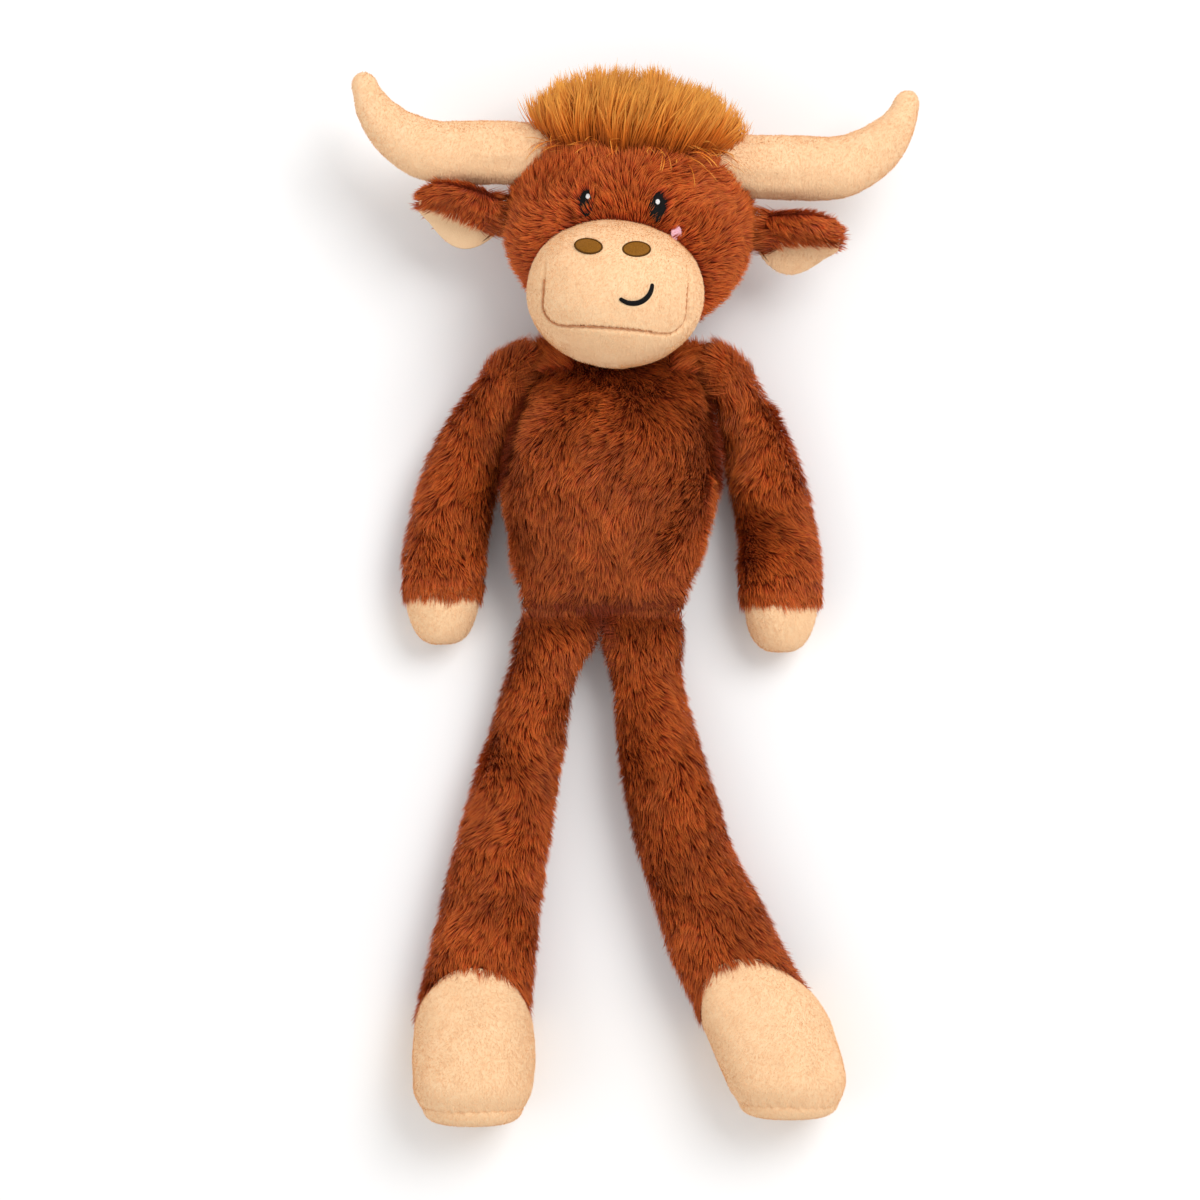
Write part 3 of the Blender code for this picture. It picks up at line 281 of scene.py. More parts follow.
# Wisps. A spread is a range of shares, or the standard deviation of an angle or a tone.
PILE_MAP = "OFBake"
TONES = 32
STRANDS_A_PIECE = 60000
BEND_SPREAD = 0.13
TWIST_SPREAD = 0.55
TONE_SPREAD = 0.13
LENGTH_SPREAD = (0.72, 1.18)
WIDTH_SPREAD = (0.7, 1.3)
CLUMP_SIZE = 0.0034
SLOPE_STEP = 0.0004
LOWEST_WISP = 0.0002
LOW_WISP_SPREAD = 0.0012
NAP_WIDTH = 0.00034
NAP_CLUMP = 0.00008


def length_property(name, description, default):
    """A length in metres, as the panel lists it."""
    return FloatProperty(name=name, description=description, default=default, unit="LENGTH")


def colour_property(name, description, default):
    """A colour in linear red, green and blue, as the panel lists it."""
    return FloatVectorProperty(
        name=name, description=description, default=default, subtype="COLOR", size=3, min=0, max=1
    )


class CowSizes(bpy.types.PropertyGroup):
    pile_length: length_property("Pile length", "Length of the plush pile", 0.0068)
    pile_width: length_property("Wisp width", "Width of a wisp of pile at its root", 0.00040)
    pile_spacing: length_property("Wisp spacing", "Distance between wisps of pile", 0.00061)
    forelock_length: length_property("Forelock length", "Length of the long pile on the crown", 0.0255)
    forelock_spacing: length_property("Forelock spacing", "Distance between its wisps", 0.00050)
    nap_length: length_property("Nap length", "Length of the velvet on the minky", 0.0010)
    nap_spacing: length_property("Nap spacing", "Distance between its fibres", 0.00054)
    thread_pitch: length_property("Thread pitch", "Distance between embroidery threads", 0.00042)


class CowColours(bpy.types.PropertyGroup):
    # Each pile runs from a dark root to a bright tip: partly its own colour, partly painted shade deep in the
    # pile and painted highlight on its tips
    fur_root: colour_property("Fur root", "Brown pile at its root", (0.175, 0.017, 0.0036))
    fur_middle: colour_property("Fur middle", "Brown pile half way up", (0.46, 0.059, 0.0090))
    fur_tip: colour_property("Fur tip", "Brown pile at its tip", (0.90, 0.195, 0.030))
    golden_root: colour_property("Forelock root", "Long pile at its root", (0.30, 0.045, 0.004))
    golden_middle: colour_property("Forelock middle", "Long pile half way up", (0.70, 0.170, 0.0105))
    golden_tip: colour_property("Forelock tip", "Long pile at its tip", (0.93, 0.40, 0.064))
    minky: colour_property("Minky", "Short smooth plush", (0.95, 0.640, 0.370))
    eye_thread: colour_property("Eye thread", "Thread of the eyes and smile", (0.008, 0.0075, 0.0075))
    pale_thread: colour_property("Highlight thread", "Thread of the eye highlights", (0.90, 0.88, 0.86))
    nostril_thread: colour_property("Nostril thread", "Thread of the nostrils", (0.262, 0.103, 0.0116))
    cheek_felt: colour_property("Cheek felt", "Felt of the cheeks", (0.92, 0.52, 0.60))
    panel_thread: colour_property("Muzzle thread", "Thread between the panels", (0.60, 0.27, 0.13))
    seam_thread: colour_property("Seam thread", "Thread in the seams", (0.16, 0.035, 0.012))
    filling: colour_property("Filling", "Stuffing fibre", (0.86, 0.86, 0.84))
    floor: colour_property("Floor", "Surface under the cow", (0.97, 0.97, 0.97))


# Numbers worked out as whole arrays


def eased(t):
    """A smooth step: 0 below 0, 1 above 1, level at both ends."""
    t = np.clip(t, 0, 1)
    return t * t * (3 - 2 * t)


def smooth_shares(places, values, wanted):
    """A cubic through given shares, with the slope at each the mean of its neighbours'."""
    places, values = np.asarray(places), np.asarray(values)
    slopes = np.gradient(values, places)
    i = np.clip(np.searchsorted(places, wanted, side="right") - 1, 0, len(places) - 2)
    step = places[i + 1] - places[i]
    t = (wanted - places[i]) / step
    start = (1 + 2 * t) * (1 - t) ** 2 * values[i] + t * (1 - t) ** 2 * step * slopes[i]
    end = t**2 * (3 - 2 * t) * values[i + 1] - t**2 * (1 - t) * step * slopes[i + 1]
    return start + end


def noise(points, scale, seed):
    """Smooth noise from -1 to 1: hashed values at the corners of cubes, eased between them."""
    spot = points / scale
    cell = np.floor(spot).astype(np.int64)
    share = eased(spot - cell)
    total = np.zeros(points.shape[:-1])
    for corner in range(8):
        offset = np.array((corner & 1, corner >> 1 & 1, corner >> 2 & 1))
        key = (cell + offset) * np.array((73856093, 19349663, 83492791))
        key = (key[..., 0] ^ key[..., 1] ^ key[..., 2]) + seed * 374761393
        key = (key ^ (key >> 13)) * 1274126177 & 0xFFFFFFFF
        key = (key ^ (key >> 16)) * 2246822519 & 0xFFFFFFFF
        weight = np.prod(np.where(offset == 1, share, 1 - share), axis=-1)
        total += weight * (key / 0x7FFFFFFF - 1)
    return total


def unit(vectors):
    """Vectors divided by their lengths."""
    return vectors / np.maximum(np.linalg.norm(vectors, axis=-1, keepdims=True), 1e-12)


def turned(points, angle, place=(0, 0, 0)):
    """Points turned about Z by an angle and then moved to a place."""
    c, s = math.cos(angle), math.sin(angle)
    return points @ np.array(((c, s, 0), (-s, c, 0), (0, 0, 1))) + np.asarray(place)


def across_only(vectors, normals):
    """Vectors without their part along the normals."""
    return vectors - (vectors * normals).sum(axis=1, keepdims=True) * normals


def oval_grid(centres, half_width, half_depth, turns, columns, squareness=2.0):
    """Upright ovals round each centre, turned about Z, one row for each.

    At an angle a the reach across is cos a and the reach up is sin a, both to the power
    2 / squareness with their signs kept.
    """
    a = np.arange(columns) * 2 * math.pi / columns
    power = 2 / squareness
    across = half_width[:, None] * np.sign(np.cos(a)) * np.abs(np.cos(a)) ** power
    up = half_depth[:, None] * np.sign(np.sin(a)) * np.abs(np.sin(a)) ** power
    x = centres[:, 0:1] + across * np.cos(turns)[:, None]
    y = centres[:, 1:2] + across * np.sin(turns)[:, None]
    return np.stack([x, y, centres[:, 2:3] + up], axis=2)


def grid_normals(grid, closed=True):
    """Unit normals of a grid: the cross product of its two directions.

    On closed rows they face away from the rows' middles.
    """
    if closed:
        along = np.roll(grid, -1, axis=1) - np.roll(grid, 1, axis=1)
    else:
        along = np.gradient(grid, axis=1)
    normals = unit(np.cross(along, np.gradient(grid, axis=0)))
    if closed:
        outward = grid - grid.mean(axis=1, keepdims=True)
        if (normals * outward).sum() < 0:
            normals = -normals
    return normals


def sheet_loops(rows, columns, closed, shift=0):
    """Corner numbers of the quads of a grid of points."""
    i = np.arange(rows - 1)[:, None]
    j = np.arange(columns if closed else columns - 1)[None, :]
    k = (j + 1) % columns
    quads = np.stack([i * columns + j, i * columns + k, (i + 1) * columns + k, (i + 1) * columns + j], 2)
    return quads.reshape(-1, 4) + shift


def add_mesh(name, points, quads, triangles=None, look=None, maps=None):
    """A smooth named mesh from arrays of points, quads and triangles, with its faces turned outwards."""
    points = np.asarray(points, float).reshape(-1, 3)
    quads = np.asarray(quads, np.int64).reshape(-1, 4)
    triangles = np.asarray(triangles if triangles is not None else [], np.int64).reshape(-1, 3)
    mesh = bpy.data.meshes.new(name)
    mesh.vertices.add(len(points))
    mesh.vertices.foreach_set("co", points.astype(np.float32).ravel())
    corners = np.concatenate([quads.ravel(), triangles.ravel()])
    starts = np.concatenate([np.arange(len(quads)) * 4, len(quads) * 4 + np.arange(len(triangles)) * 3])
    mesh.loops.add(len(corners))
    mesh.loops.foreach_set("vertex_index", corners.astype(np.int32))
    mesh.polygons.add(len(starts))
    mesh.polygons.foreach_set("loop_start", starts.astype(np.int32))
    mesh.polygons.foreach_set("use_smooth", np.ones(len(starts), bool))
    if maps is not None:
        layer = mesh.uv_layers.new(name=PILE_MAP)
        layer.data.foreach_set("uv", maps.astype(np.float32).ravel())
    mesh.update(calc_edges=True)
    mesh.validate()
    if look is not None:
        mesh.materials.append(look)
    piece = bpy.data.objects.new(name, mesh)
    bpy.context.scene.collection.objects.link(piece)
    return piece


def faces_in(points, corners):
    """Whether a closed skin is inside out: the sum of a . (b x c) over its triangles is below 0."""
    a, b, c = (points[corners[:, i]] for i in range(3))
    volume = (a * np.cross(b, c)).sum()
    if corners.shape[1] == 4:
        volume += (a * np.cross(c, points[corners[:, 3]])).sum()
    return volume < 0


def capped(name, grid, look):
    """A closed skin over rows of rings, with a fan to the middle of each end row."""
    rows, columns = grid.shape[:2]
    points = np.concatenate([grid.reshape(-1, 3), grid[:1].mean(axis=1), grid[-1:].mean(axis=1)])
    quads = sheet_loops(rows, columns, True)
    j = np.arange(columns)
    k = (j + 1) % columns
    middle = np.full(columns, rows * columns)
    last = (rows - 1) * columns
    triangles = np.concatenate([np.stack([middle, k, j], 1), np.stack([last + j, last + k, middle + 1], 1)])
    whole = np.concatenate([quads[:, [0, 1, 2]], quads[:, [0, 2, 3]], triangles])
    if faces_in(points, whole):
        quads, triangles = quads[:, ::-1], triangles[:, ::-1]
    return add_mesh(name, points, quads, triangles, look)


def walled(name, outer, inner, look, closed=True):
    """A closed wall between an outer and an inner grid of the same size, joined along their edges."""
    rows, columns = outer.shape[:2]
    shift = rows * columns
    quads = [sheet_loops(rows, columns, closed), sheet_loops(rows, columns, closed, shift)[:, ::-1]]
    j = np.arange(columns if closed else columns - 1)
    k = (j + 1) % columns
    last = (rows - 1) * columns
    quads.append(np.stack([k, j, shift + j, shift + k], 1))
    quads.append(np.stack([last + j, last + k, shift + last + k, shift + last + j], 1))
    if not closed:
        i = np.arange(rows - 1) * columns
        quads.append(np.stack([i, i + columns, shift + i + columns, shift + i], 1))
        right = i + columns - 1
        quads.append(np.stack([right + columns, right, shift + right, shift + right + columns], 1))
    quads = np.concatenate(quads)
    points = np.concatenate([outer.reshape(-1, 3), inner.reshape(-1, 3)])
    if faces_in(points, quads):
        quads = quads[:, ::-1]
    return add_mesh(name, points, quads, None, look)


# Pile


def scattered(grid, normals, spacing, rng, closed=True):
    """Random points over a grid, evenly by area, with their normals."""
    nearby = np.roll(grid, -1, axis=1)
    a, b, c, d = grid[:-1], nearby[:-1], nearby[1:], grid[1:]
    area = np.linalg.norm(np.cross(c - a, d - b), axis=2) / 2
    if not closed:
        area[:, -1] = 0
    area = area.ravel()
    count = int(area.sum() / spacing**2)
    picked = np.searchsorted(np.cumsum(area), rng.random(count) * area.sum())
    picked = np.minimum(picked, np.flatnonzero(area)[-1])
    row, column = np.divmod(picked, grid.shape[1])
    following = (column + 1) % grid.shape[1]
    s, t = rng.random((2, count, 1))

    def between(field):
        """A grid's values at shares s and t of each picked face, by weighting its four corners."""
        low = field[row, column] * (1 - s) + field[row, following] * s
        high = field[row + 1, column] * (1 - s) + field[row + 1, following] * s
        return low * (1 - t) + high * t

    return between(grid), unit(between(normals))


def swirled(points, normals, direction, seed, wide=1.1, fine=0.55):
    """A pile direction in the surface, turned about the normal by wide and fine noise."""
    lean = unit(across_only(direction, normals) + 1e-6)
    angle = wide * noise(points, 0.026, seed) + fine * noise(points, 0.009, seed + 1)
    angle = angle[:, None]
    return lean * np.cos(angle) + np.cross(normals, lean) * np.sin(angle)


def wisps(name, body, look, roots, normals, leans, rng, length, width, bend=(0.55, 1.38), steps=2,
          seed=1, clump=0.0016, tone_shift=0.0, droop=0.0):
    """Tapering ribbons that stand on a surface and bend over towards their lean.

    A ribbon's point at share t lies at the root plus the sum of short steps, each at an angle to
    the normal that grows from bend[0] to bend[1]. Tips draw together on a noise slope, in clumps.
    The map's first axis is the wisp's tone and its second runs from root to tip. A wisp's tip also
    drops by droop, and nothing goes below the floor.
    """
    count = len(roots)
    length = np.broadcast_to(np.asarray(length, float).reshape(-1, 1), (count, 1))
    t = (np.arange(steps) + 0.5) / steps
    angle = bend[0] + (bend[1] - bend[0]) * t + rng.normal(0, BEND_SPREAD, (count, 1))
    lengths = length * rng.uniform(*LENGTH_SPREAD, (count, 1)) / steps
    rises = np.cumsum(np.cos(angle) * lengths, axis=1)
    runs = np.cumsum(np.sin(angle) * lengths, axis=1)
    zero = np.zeros((count, 1))
    rises, runs = np.hstack([zero, rises]), np.hstack([zero, runs])
    line = roots[:, None] + rises[..., None] * normals[:, None] + runs[..., None] * leans[:, None]

    near = roots + leans * length * 0.5
    level = noise(near, CLUMP_SIZE, seed + 5)
    nearby = [noise(near + step, CLUMP_SIZE, seed + 5) for step in np.eye(3) * SLOPE_STEP]
    slope = across_only(np.stack([beside - level for beside in nearby], 1), normals)
    pull = (np.arange(steps + 1) / steps) ** 1.5
    line += pull[None, :, None] * (unit(slope) * clump * rng.uniform(0.2, 1.0, (count, 1)))[:, None]
    line[..., 2] -= droop * pull[None] ** 2
    line[..., 2] = np.maximum(line[..., 2], LOWEST_WISP + LOW_WISP_SPREAD * rng.random((count, 1)))

    side = unit(np.cross(leans, normals))
    twist = rng.normal(0, TWIST_SPREAD, (count, 1))
    side = side * np.cos(twist) + normals * np.sin(twist)
    shares = np.arange(steps) / steps
    half = width / 2 * (1 - 0.35 * shares) * np.minimum(1.0, 0.75 + shares)
    half = half[None, :, None] * rng.uniform(*WIDTH_SPREAD, (count, 1, 1))
    points = np.empty((count, 2 * steps + 1, 3))
    points[:, 0:-1:2] = line[:, :-1] - side[:, None] * half
    points[:, 1:-1:2] = line[:, :-1] + side[:, None] * half
    points[:, -1] = line[:, -1]

    tone = 0.5 + tone_shift + 0.26 * noise(roots, 0.0042, seed + 7) + 0.20 * noise(roots, 0.019, seed + 8)
    tone = tone + rng.normal(0, TONE_SPREAD, count)
    column = np.clip((tone * TONES).astype(int), 0, TONES - 1)
    k = 2 * np.arange(steps - 1)
    quads = np.stack([k, k + 1, k + 3, k + 2], 1).reshape(-1, 4)
    tip = np.array([[2 * steps - 2, 2 * steps - 1, 2 * steps]])
    for number, first in enumerate(range(0, count, STRANDS_A_PIECE), 1):
        part = slice(first, min(first + STRANDS_A_PIECE, count))
        size = part.stop - part.start
        shift = np.arange(size)[:, None, None] * (2 * steps + 1)
        left = (column[part, None] + 0.15) / TONES
        right = (column[part, None] + 0.85) / TONES
        u = np.empty((size, 2 * steps + 1))
        u[:, 0:-1:2], u[:, 1:-1:2] = left, right
        u[:, -1:] = (left + right) / 2
        v = np.concatenate([np.repeat(np.arange(steps) / steps, 2), [1.0]]) * 0.96 + 0.02
        spots = np.stack([u, np.broadcast_to(v, u.shape)], 2).reshape(-1, 2)
        all_quads = (quads[None] + shift).reshape(-1, 4)
        all_tips = (tip[None] + shift).reshape(-1, 3)
        maps = spots[np.concatenate([all_quads.ravel(), all_tips.ravel()])]
        piece = add_mesh("%s_%d" % (name, number), points[part], all_quads, all_tips, look, maps)
        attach(piece, body)


# Forms of the cow, as grids


def torso_outline(share):
    """Middle X and Z, half width and half depth of the torso at shares of its length."""
    front = smooth_shares(TORSO_LENGTH_SHARES, TORSO_FRONT_SHARES, share)
    back = smooth_shares(TORSO_LENGTH_SHARES, TORSO_BACK_SHARES, share)
    width = smooth_shares(TORSO_LENGTH_SHARES, TORSO_WIDTH_SHARES, share)
    x = TORSO_LEAN * (share - 0.5)
    z = (front + back) / 2 * TORSO_DEPTH - FLAT_DEPTH
    return x, z, width * TORSO_WIDTH / 2, (front - back) / 2 * TORSO_DEPTH


def torso_share(points):
    """Share of the torso's length at which points lie: 0 at the hips, 1 at the neck."""
    return (points[..., 1] - TORSO_BOTTOM) / TORSO_LENGTH


def torso_aside(points):
    """How far to the side points lie in the torso: 0 in the middle, 1 at its widest."""
    x, _, half_width, _ = torso_outline(np.clip(torso_share(points), 0, 1))
    return np.abs(points[:, 0] - x) / half_width


def end_spread(count):
    """Shares from 0 to 1 that crowd towards both ends."""
    even = np.linspace(0, 1, count)
    return 0.35 * even + 0.65 * (0.5 - 0.5 * np.cos(math.pi * even))


def torso_grid(rows, columns, inset):
    """The torso's outlines from hips to neck, drawn in by inset except at the pinched ends."""
    share = end_spread(rows)
    x, z, half_width, half_depth = torso_outline(share)
    drawn = inset * np.minimum(eased(share / 0.12), eased((1 - share) / 0.14))
    drawn = np.minimum(drawn, half_depth * 0.7)
    centres = np.stack([x, TORSO_BOTTOM + TORSO_LENGTH * share, z], 1)
    return oval_grid(centres, half_width - drawn, half_depth - drawn, np.zeros(rows), columns)


def out_of_torso(points, gap):
    """Points inside the torso moved sideways and up to its surface plus a gap.

    The second result is each point's distance from the torso's middle line over the surface's, and
    the third tells whether the point lies beside the torso at all.
    """
    share = torso_share(points)
    x, z, half_width, half_depth = torso_outline(np.clip(share, 0, 1))
    wide = (points[..., 0] - x) / (half_width + gap)
    tall = (points[..., 2] - z) / (half_depth + gap)
    reach = np.sqrt(wide**2 + tall**2)
    inside = (reach < 1) & (share > 0) & (share < 1)
    grow = np.where(inside, 1 / np.maximum(reach, 0.05), 1.0)
    moved = points.copy()
    moved[..., 0] = x + (points[..., 0] - x) * grow
    moved[..., 2] = z + (points[..., 2] - z) * grow
    return moved, reach, (share > 0) & (share < 1)


def arm_frame(word, share):
    """Middle and heading of an arm at shares of its length: a circular bend from outwards to down."""
    side, curve, spread = SIDES[word], ARM_CURVES[word], ARM_SPREADS[word]
    heading = curve * (1 - share) + spread
    radius = ARM_LENGTH / curve
    out = radius * (np.cos(heading) - math.cos(curve + spread))
    down = radius * (math.sin(curve + spread) - np.sin(heading))
    start = SEAM_RADIUS + SEAM_GAP
    x = side * (out + start * math.sin(curve + spread))
    y = -down - start * math.cos(curve + spread)
    return x, y, side * heading


def arm_grid(word, rows, columns, inset):
    """An arm's outlines from its pinched top to the cuff, settled on the surface below."""
    share = end_spread(rows)
    half_width = smooth_shares(ARM_LENGTH_SHARES, ARM_WIDTH_SHARES, share) * ARM_WIDTH / 2
    half_depth = smooth_shares(ARM_LENGTH_SHARES, ARM_DEPTH_SHARES, share) * ARM_DEPTH / 2
    x, y, heading = arm_frame(word, share)
    place = SHOULDERS[word]
    z = eased(share / ARM_SETTLE_SHARE) * (half_depth - FLAT_DEPTH - place[2])
    drawn = np.minimum(inset * eased(share / 0.25), half_width * 0.7)
    centres = np.stack([x, y, z], 1) + place
    return oval_grid(centres, half_width - drawn, half_depth - drawn, heading, columns)


def hoof_grid(word, rows, columns):
    """A round-ended hoof from inside the cuff outwards.

    With a from 0 to a quarter turn it runs along its length by sin a to the power 1.15, while its
    rings shrink with cos a to the power 0.62. A shallow neck shows at the cuff.
    """
    x, y, heading = (float(v) for v in arm_frame(word, np.array(1.0)))
    place = np.asarray(SHOULDERS[word])
    turn = np.linspace(0, 1, rows) * math.pi / 2
    size = np.cos(turn * 0.999) ** 0.62
    run = SEAM_GAP - HOOF_TUCK + (HOOF_LENGTH + HOOF_TUCK) * np.sin(turn) ** 1.15
    forward = np.array((math.sin(heading), -math.cos(heading), 0))
    centres = np.array((x, y, HOOF_DEPTH / 2 - FLAT_DEPTH - place[2])) + place + run[:, None] * forward
    size *= 0.975 - 0.05 * np.exp(-((run / 0.0042) ** 2))
    return oval_grid(centres, size * HOOF_WIDTH / 2, size * HOOF_DEPTH / 2, np.full(rows, heading), columns)


def leg_drop(word):
    """How far a leg runs down: the third side of a right triangle on its length and its reach."""
    return math.sqrt(LEG_LENGTH**2 - LEG_REACHES[word] ** 2)


def leg_turn(word, share):
    """Turn of a leg's outlines: part of the way to square with its bowed line, from the hip down."""
    slope = (LEG_REACHES[word] + LEG_BOWS[word] * 4 * (1 - 2 * share)) / leg_drop(word)
    return np.arctan(slope) * LEG_SQUARE_SHARE * np.minimum(1.0, share / LEG_TURN_SHARE)


def leg_grid(word, rows, columns, inset):
    """A leg's outlines from its pinched hip edge to the ankle, bowed and settled on the surface."""
    share = end_spread(rows)
    side, reach, bow = SIDES[word], LEG_REACHES[word], LEG_BOWS[word]
    half_width = smooth_shares(LEG_LENGTH_SHARES, LEG_WIDTH_SHARES, share) * LEG_WIDTH / 2
    half_depth = smooth_shares(LEG_LENGTH_SHARES, LEG_DEPTH_SHARES, share) * LEG_DEPTH / 2
    place = HIPS[word]
    x = side * (reach * share + bow * 4 * share * (1 - share))
    y = -(SEAM_RADIUS + SEAM_GAP) - share * leg_drop(word)
    z = eased(share / LEG_SETTLE_SHARE) * (half_depth - FLAT_DEPTH - place[2])
    drawn = np.minimum(inset * eased(share / 0.14), half_depth * 0.7)
    centres = np.stack([x, y, z], 1) + place
    turns = side * leg_turn(word, share)
    return oval_grid(centres, half_width - drawn, half_depth - drawn, turns, columns)


def foot_outline(word, share):
    """Centres, half sizes and turns of a foot's outlines from the ankle to the sole's rim."""
    side, reach, splay = SIDES[word], LEG_REACHES[word], FOOT_SPLAYS[word]
    half_width = smooth_shares(FOOT_LENGTH_SHARES, FOOT_WIDTH_SHARES, share) * FOOT_WIDTH / 2
    half_depth = smooth_shares(FOOT_LENGTH_SHARES, FOOT_DEPTH_SHARES, share) * FOOT_DEPTH / 2
    place = HIPS[word]
    run = share * FOOT_LENGTH
    x = side * (reach + splay * run * (1 - share / 2))
    y = -(SEAM_RADIUS + SEAM_GAP + leg_drop(word) + SEAM_GAP) - run
    z = half_depth - FLAT_DEPTH - place[2]
    centres = np.stack([x, y, z], 1) + place
    turns = side * leg_turn(word, np.array(1.0)) * (1 - share)
    return centres, half_width, half_depth, turns


def head_grid(rows, columns, inset):
    """The head as an upright oval, from the crown down to the pinched neck edge, in the world."""
    # The oval ends where it is as wide as the neck, and eight more rows fold it in to the seam
    low = math.asin(HEAD_NECK_WIDTH / HEAD_WIDTH)
    turn = np.linspace(math.pi - 0.02, low, rows)
    reach = np.sin(turn)
    half_height = HEAD_HEIGHT / 2 - inset
    y = HEAD_RISE - half_height * np.cos(turn)
    trim = inset * np.minimum(1.0, reach * 2)
    half_width = HEAD_WIDTH / 2 * reach - trim
    half_depth = HEAD_DEPTH / 2 * reach - trim
    z = np.full(rows, HEAD_DEPTH / 2 - FLAT_DEPTH - NECK[2])
    t = np.linspace(0, 1, 8)[1:]
    fold = eased(t)
    y = np.concatenate([y, y[-1] + (SEAM_RADIUS + SEAM_GAP - y[-1]) * t])
    half_width = np.concatenate([half_width, half_width[-1] + (HEAD_NECK_WIDTH / 2 - half_width[-1]) * fold])
    half_depth = np.concatenate([half_depth, half_depth[-1] + (HEAD_NECK_DEPTH / 2 - half_depth[-1]) * fold])
    z = np.concatenate([z, z[-1] * (1 - fold)])
    centres = np.stack([np.zeros(len(y)), y, z], 1)
    grid = oval_grid(centres, half_width, half_depth, np.zeros(len(y)), columns)
    return turned(grid, HEAD_ROLL, NECK)


def from_head(points):
    """Points of the head's own frame, whose origin is the neck seam, in the world."""
    return turned(points, HEAD_ROLL, NECK)


def head_local(points):
    """World points in the head's own frame, whose origin is the neck seam."""
    return turned(points - NECK, -HEAD_ROLL)


def head_height(x, y, grow=0.0):
    """Height of the head's front at x and y, in the head's frame."""
    wide = x / (HEAD_WIDTH / 2)
    tall = (y - HEAD_RISE) / (HEAD_HEIGHT / 2)
    bulge = np.sqrt(np.maximum(0.0, 1 - wide**2 - tall**2))
    return HEAD_DEPTH / 2 * (1 + bulge) - FLAT_DEPTH - NECK[2] + grow


MUZZLE_MIDDLE = np.array((FACE_SHIFT, MUZZLE_RISE, MUZZLE_HEIGHT_OFF_BACK - NECK[2]))
MUZZLE_HALF = np.array((MUZZLE_WIDTH / 2, MUZZLE_HEIGHT / 2, MUZZLE_DEPTH / 2))


def muzzle_height(x, y, grow=0.0):
    """Height of the muzzle's front at x and y, in the head's frame."""
    wide = (x - MUZZLE_MIDDLE[0]) / MUZZLE_HALF[0]
    tall = (y - MUZZLE_MIDDLE[1]) / MUZZLE_HALF[1]
    return MUZZLE_MIDDLE[2] + MUZZLE_HALF[2] * np.sqrt(np.maximum(0.0, 1 - wide**2 - tall**2)) + grow


def muzzle_reach(points, grow=0.0):
    """Share of the way from the muzzle's middle to its surface, 1 on it."""
    return np.linalg.norm((points - MUZZLE_MIDDLE) / (MUZZLE_HALF + grow), axis=-1)


def muzzle_point(polar, around, grow=0.0):
    """A point of the muzzle at an angle from its front pole and an angle round it."""
    direction = np.stack([np.sin(polar) * np.cos(around), np.sin(polar) * np.sin(around), np.cos(polar)], -1)
    return MUZZLE_MIDDLE + direction * (MUZZLE_HALF + np.asarray(grow)[..., None])


def panel_polar(around):
    """Angle from the front pole at which the nose panel ends, in each direction round it."""
    c, s = np.cos(around), np.sin(around)
    reach = np.linspace(0.02, 1.0, 400)[:, None]
    x = np.abs(reach * c * MUZZLE_HALF[0])
    y = reach * s * MUZZLE_HALF[1]
    half, low, corner = PANEL_WIDTH / 2, PANEL_BOTTOM, PANEL_CORNER
    past_corner = np.maximum(x - (half - corner), 0) ** 2 + np.maximum(low + corner - y, 0) ** 2
    inside = (x < half) & (y > low) & (past_corner < corner**2)
    edge = np.where(inside, reach, 0).max(axis=0)
    polar = np.arcsin(np.clip(edge, 0, 1))
    for _ in range(6):
        polar = (np.roll(polar, 1) + 2 * polar + np.roll(polar, -1)) / 4
    return polar


def horn_line(word, run):
    """Middle and heading along a horn: a straight run out, then a circular bend up."""
    side, tilt = SIDES[word], HORN_TILTS[word]
    bent = np.maximum(run - HORN_RUN, 0) / HORN_BEND_RADIUS
    out = np.minimum(run, HORN_RUN) + HORN_BEND_RADIUS * np.sin(bent)
    up = HORN_BEND_RADIUS * (1 - np.cos(bent))
    x = out * math.cos(tilt) - up * math.sin(tilt)
    y = out * math.sin(tilt) + up * math.cos(tilt)
    centres = np.stack([side * (HORN_ROOT_X + x), HORN_RISE + y, np.full(len(run), HORN_HEIGHT - NECK[2])], 1)
    return centres, side * (bent + tilt - math.pi / 2)


def horn_radius(share):
    """Radius of a horn at shares of its length, by a cubic through even shares."""
    places = np.linspace(0, 1, len(HORN_THICKNESS_SHARES))
    return smooth_shares(places, HORN_THICKNESS_SHARES, share) * HORN_THICKNESS / 2


def ear_matrix(word):
    """From an ear's own frame to the world: the head's turn, the ear's place, droop and turn."""
    side, rise = SIDES[word], EAR_RISES[word]
    level = math.sqrt(1 - ((rise - HEAD_RISE) / (HEAD_HEIGHT / 2)) ** 2)
    reach = HEAD_WIDTH / 2 * level + SEAM_GAP + EAR_SEAM_RADIUS
    return (
        Matrix.Translation(NECK)
        @ Matrix.Rotation(HEAD_ROLL, 4, "Z")
        @ Matrix.Translation((side * reach, rise, EAR_HEIGHT - NECK[2]))
        @ Matrix.Rotation(-side * EAR_DROOPS[word], 4, "Z")
        @ Matrix.Rotation(-EAR_TURN - math.pi / 2, 4, "X")
    )


def ear_half_width(u):
    """Half width of an ear's leaf at shares u of its length: a power of a sine, with a full root."""
    turn = math.pi * (EAR_OUTLINE_FROM_SHARE + EAR_OUTLINE_RUN_SHARE * u)
    half = EAR_WIDTH / 2 * np.sin(turn) ** EAR_FULLNESS
    return np.where(u < 0.3, np.maximum(half, EAR_WIDTH / 2 * EAR_ROOT_SHARE), half)


def ear_sheet(word, u, v, half, height):
    """A sheet in the world at shares u along and v across an ear, cupped by v squared."""
    cup = EAR_CUP * v**2 * np.sin(math.pi * np.minimum(1.0, u + 0.15))
    x = SIDES[word] * (EAR_SEAM_RADIUS + SEAM_GAP + u * EAR_LENGTH) + 0 * v
    return in_ear(word, np.stack([x, half * v, height - cup], 2))


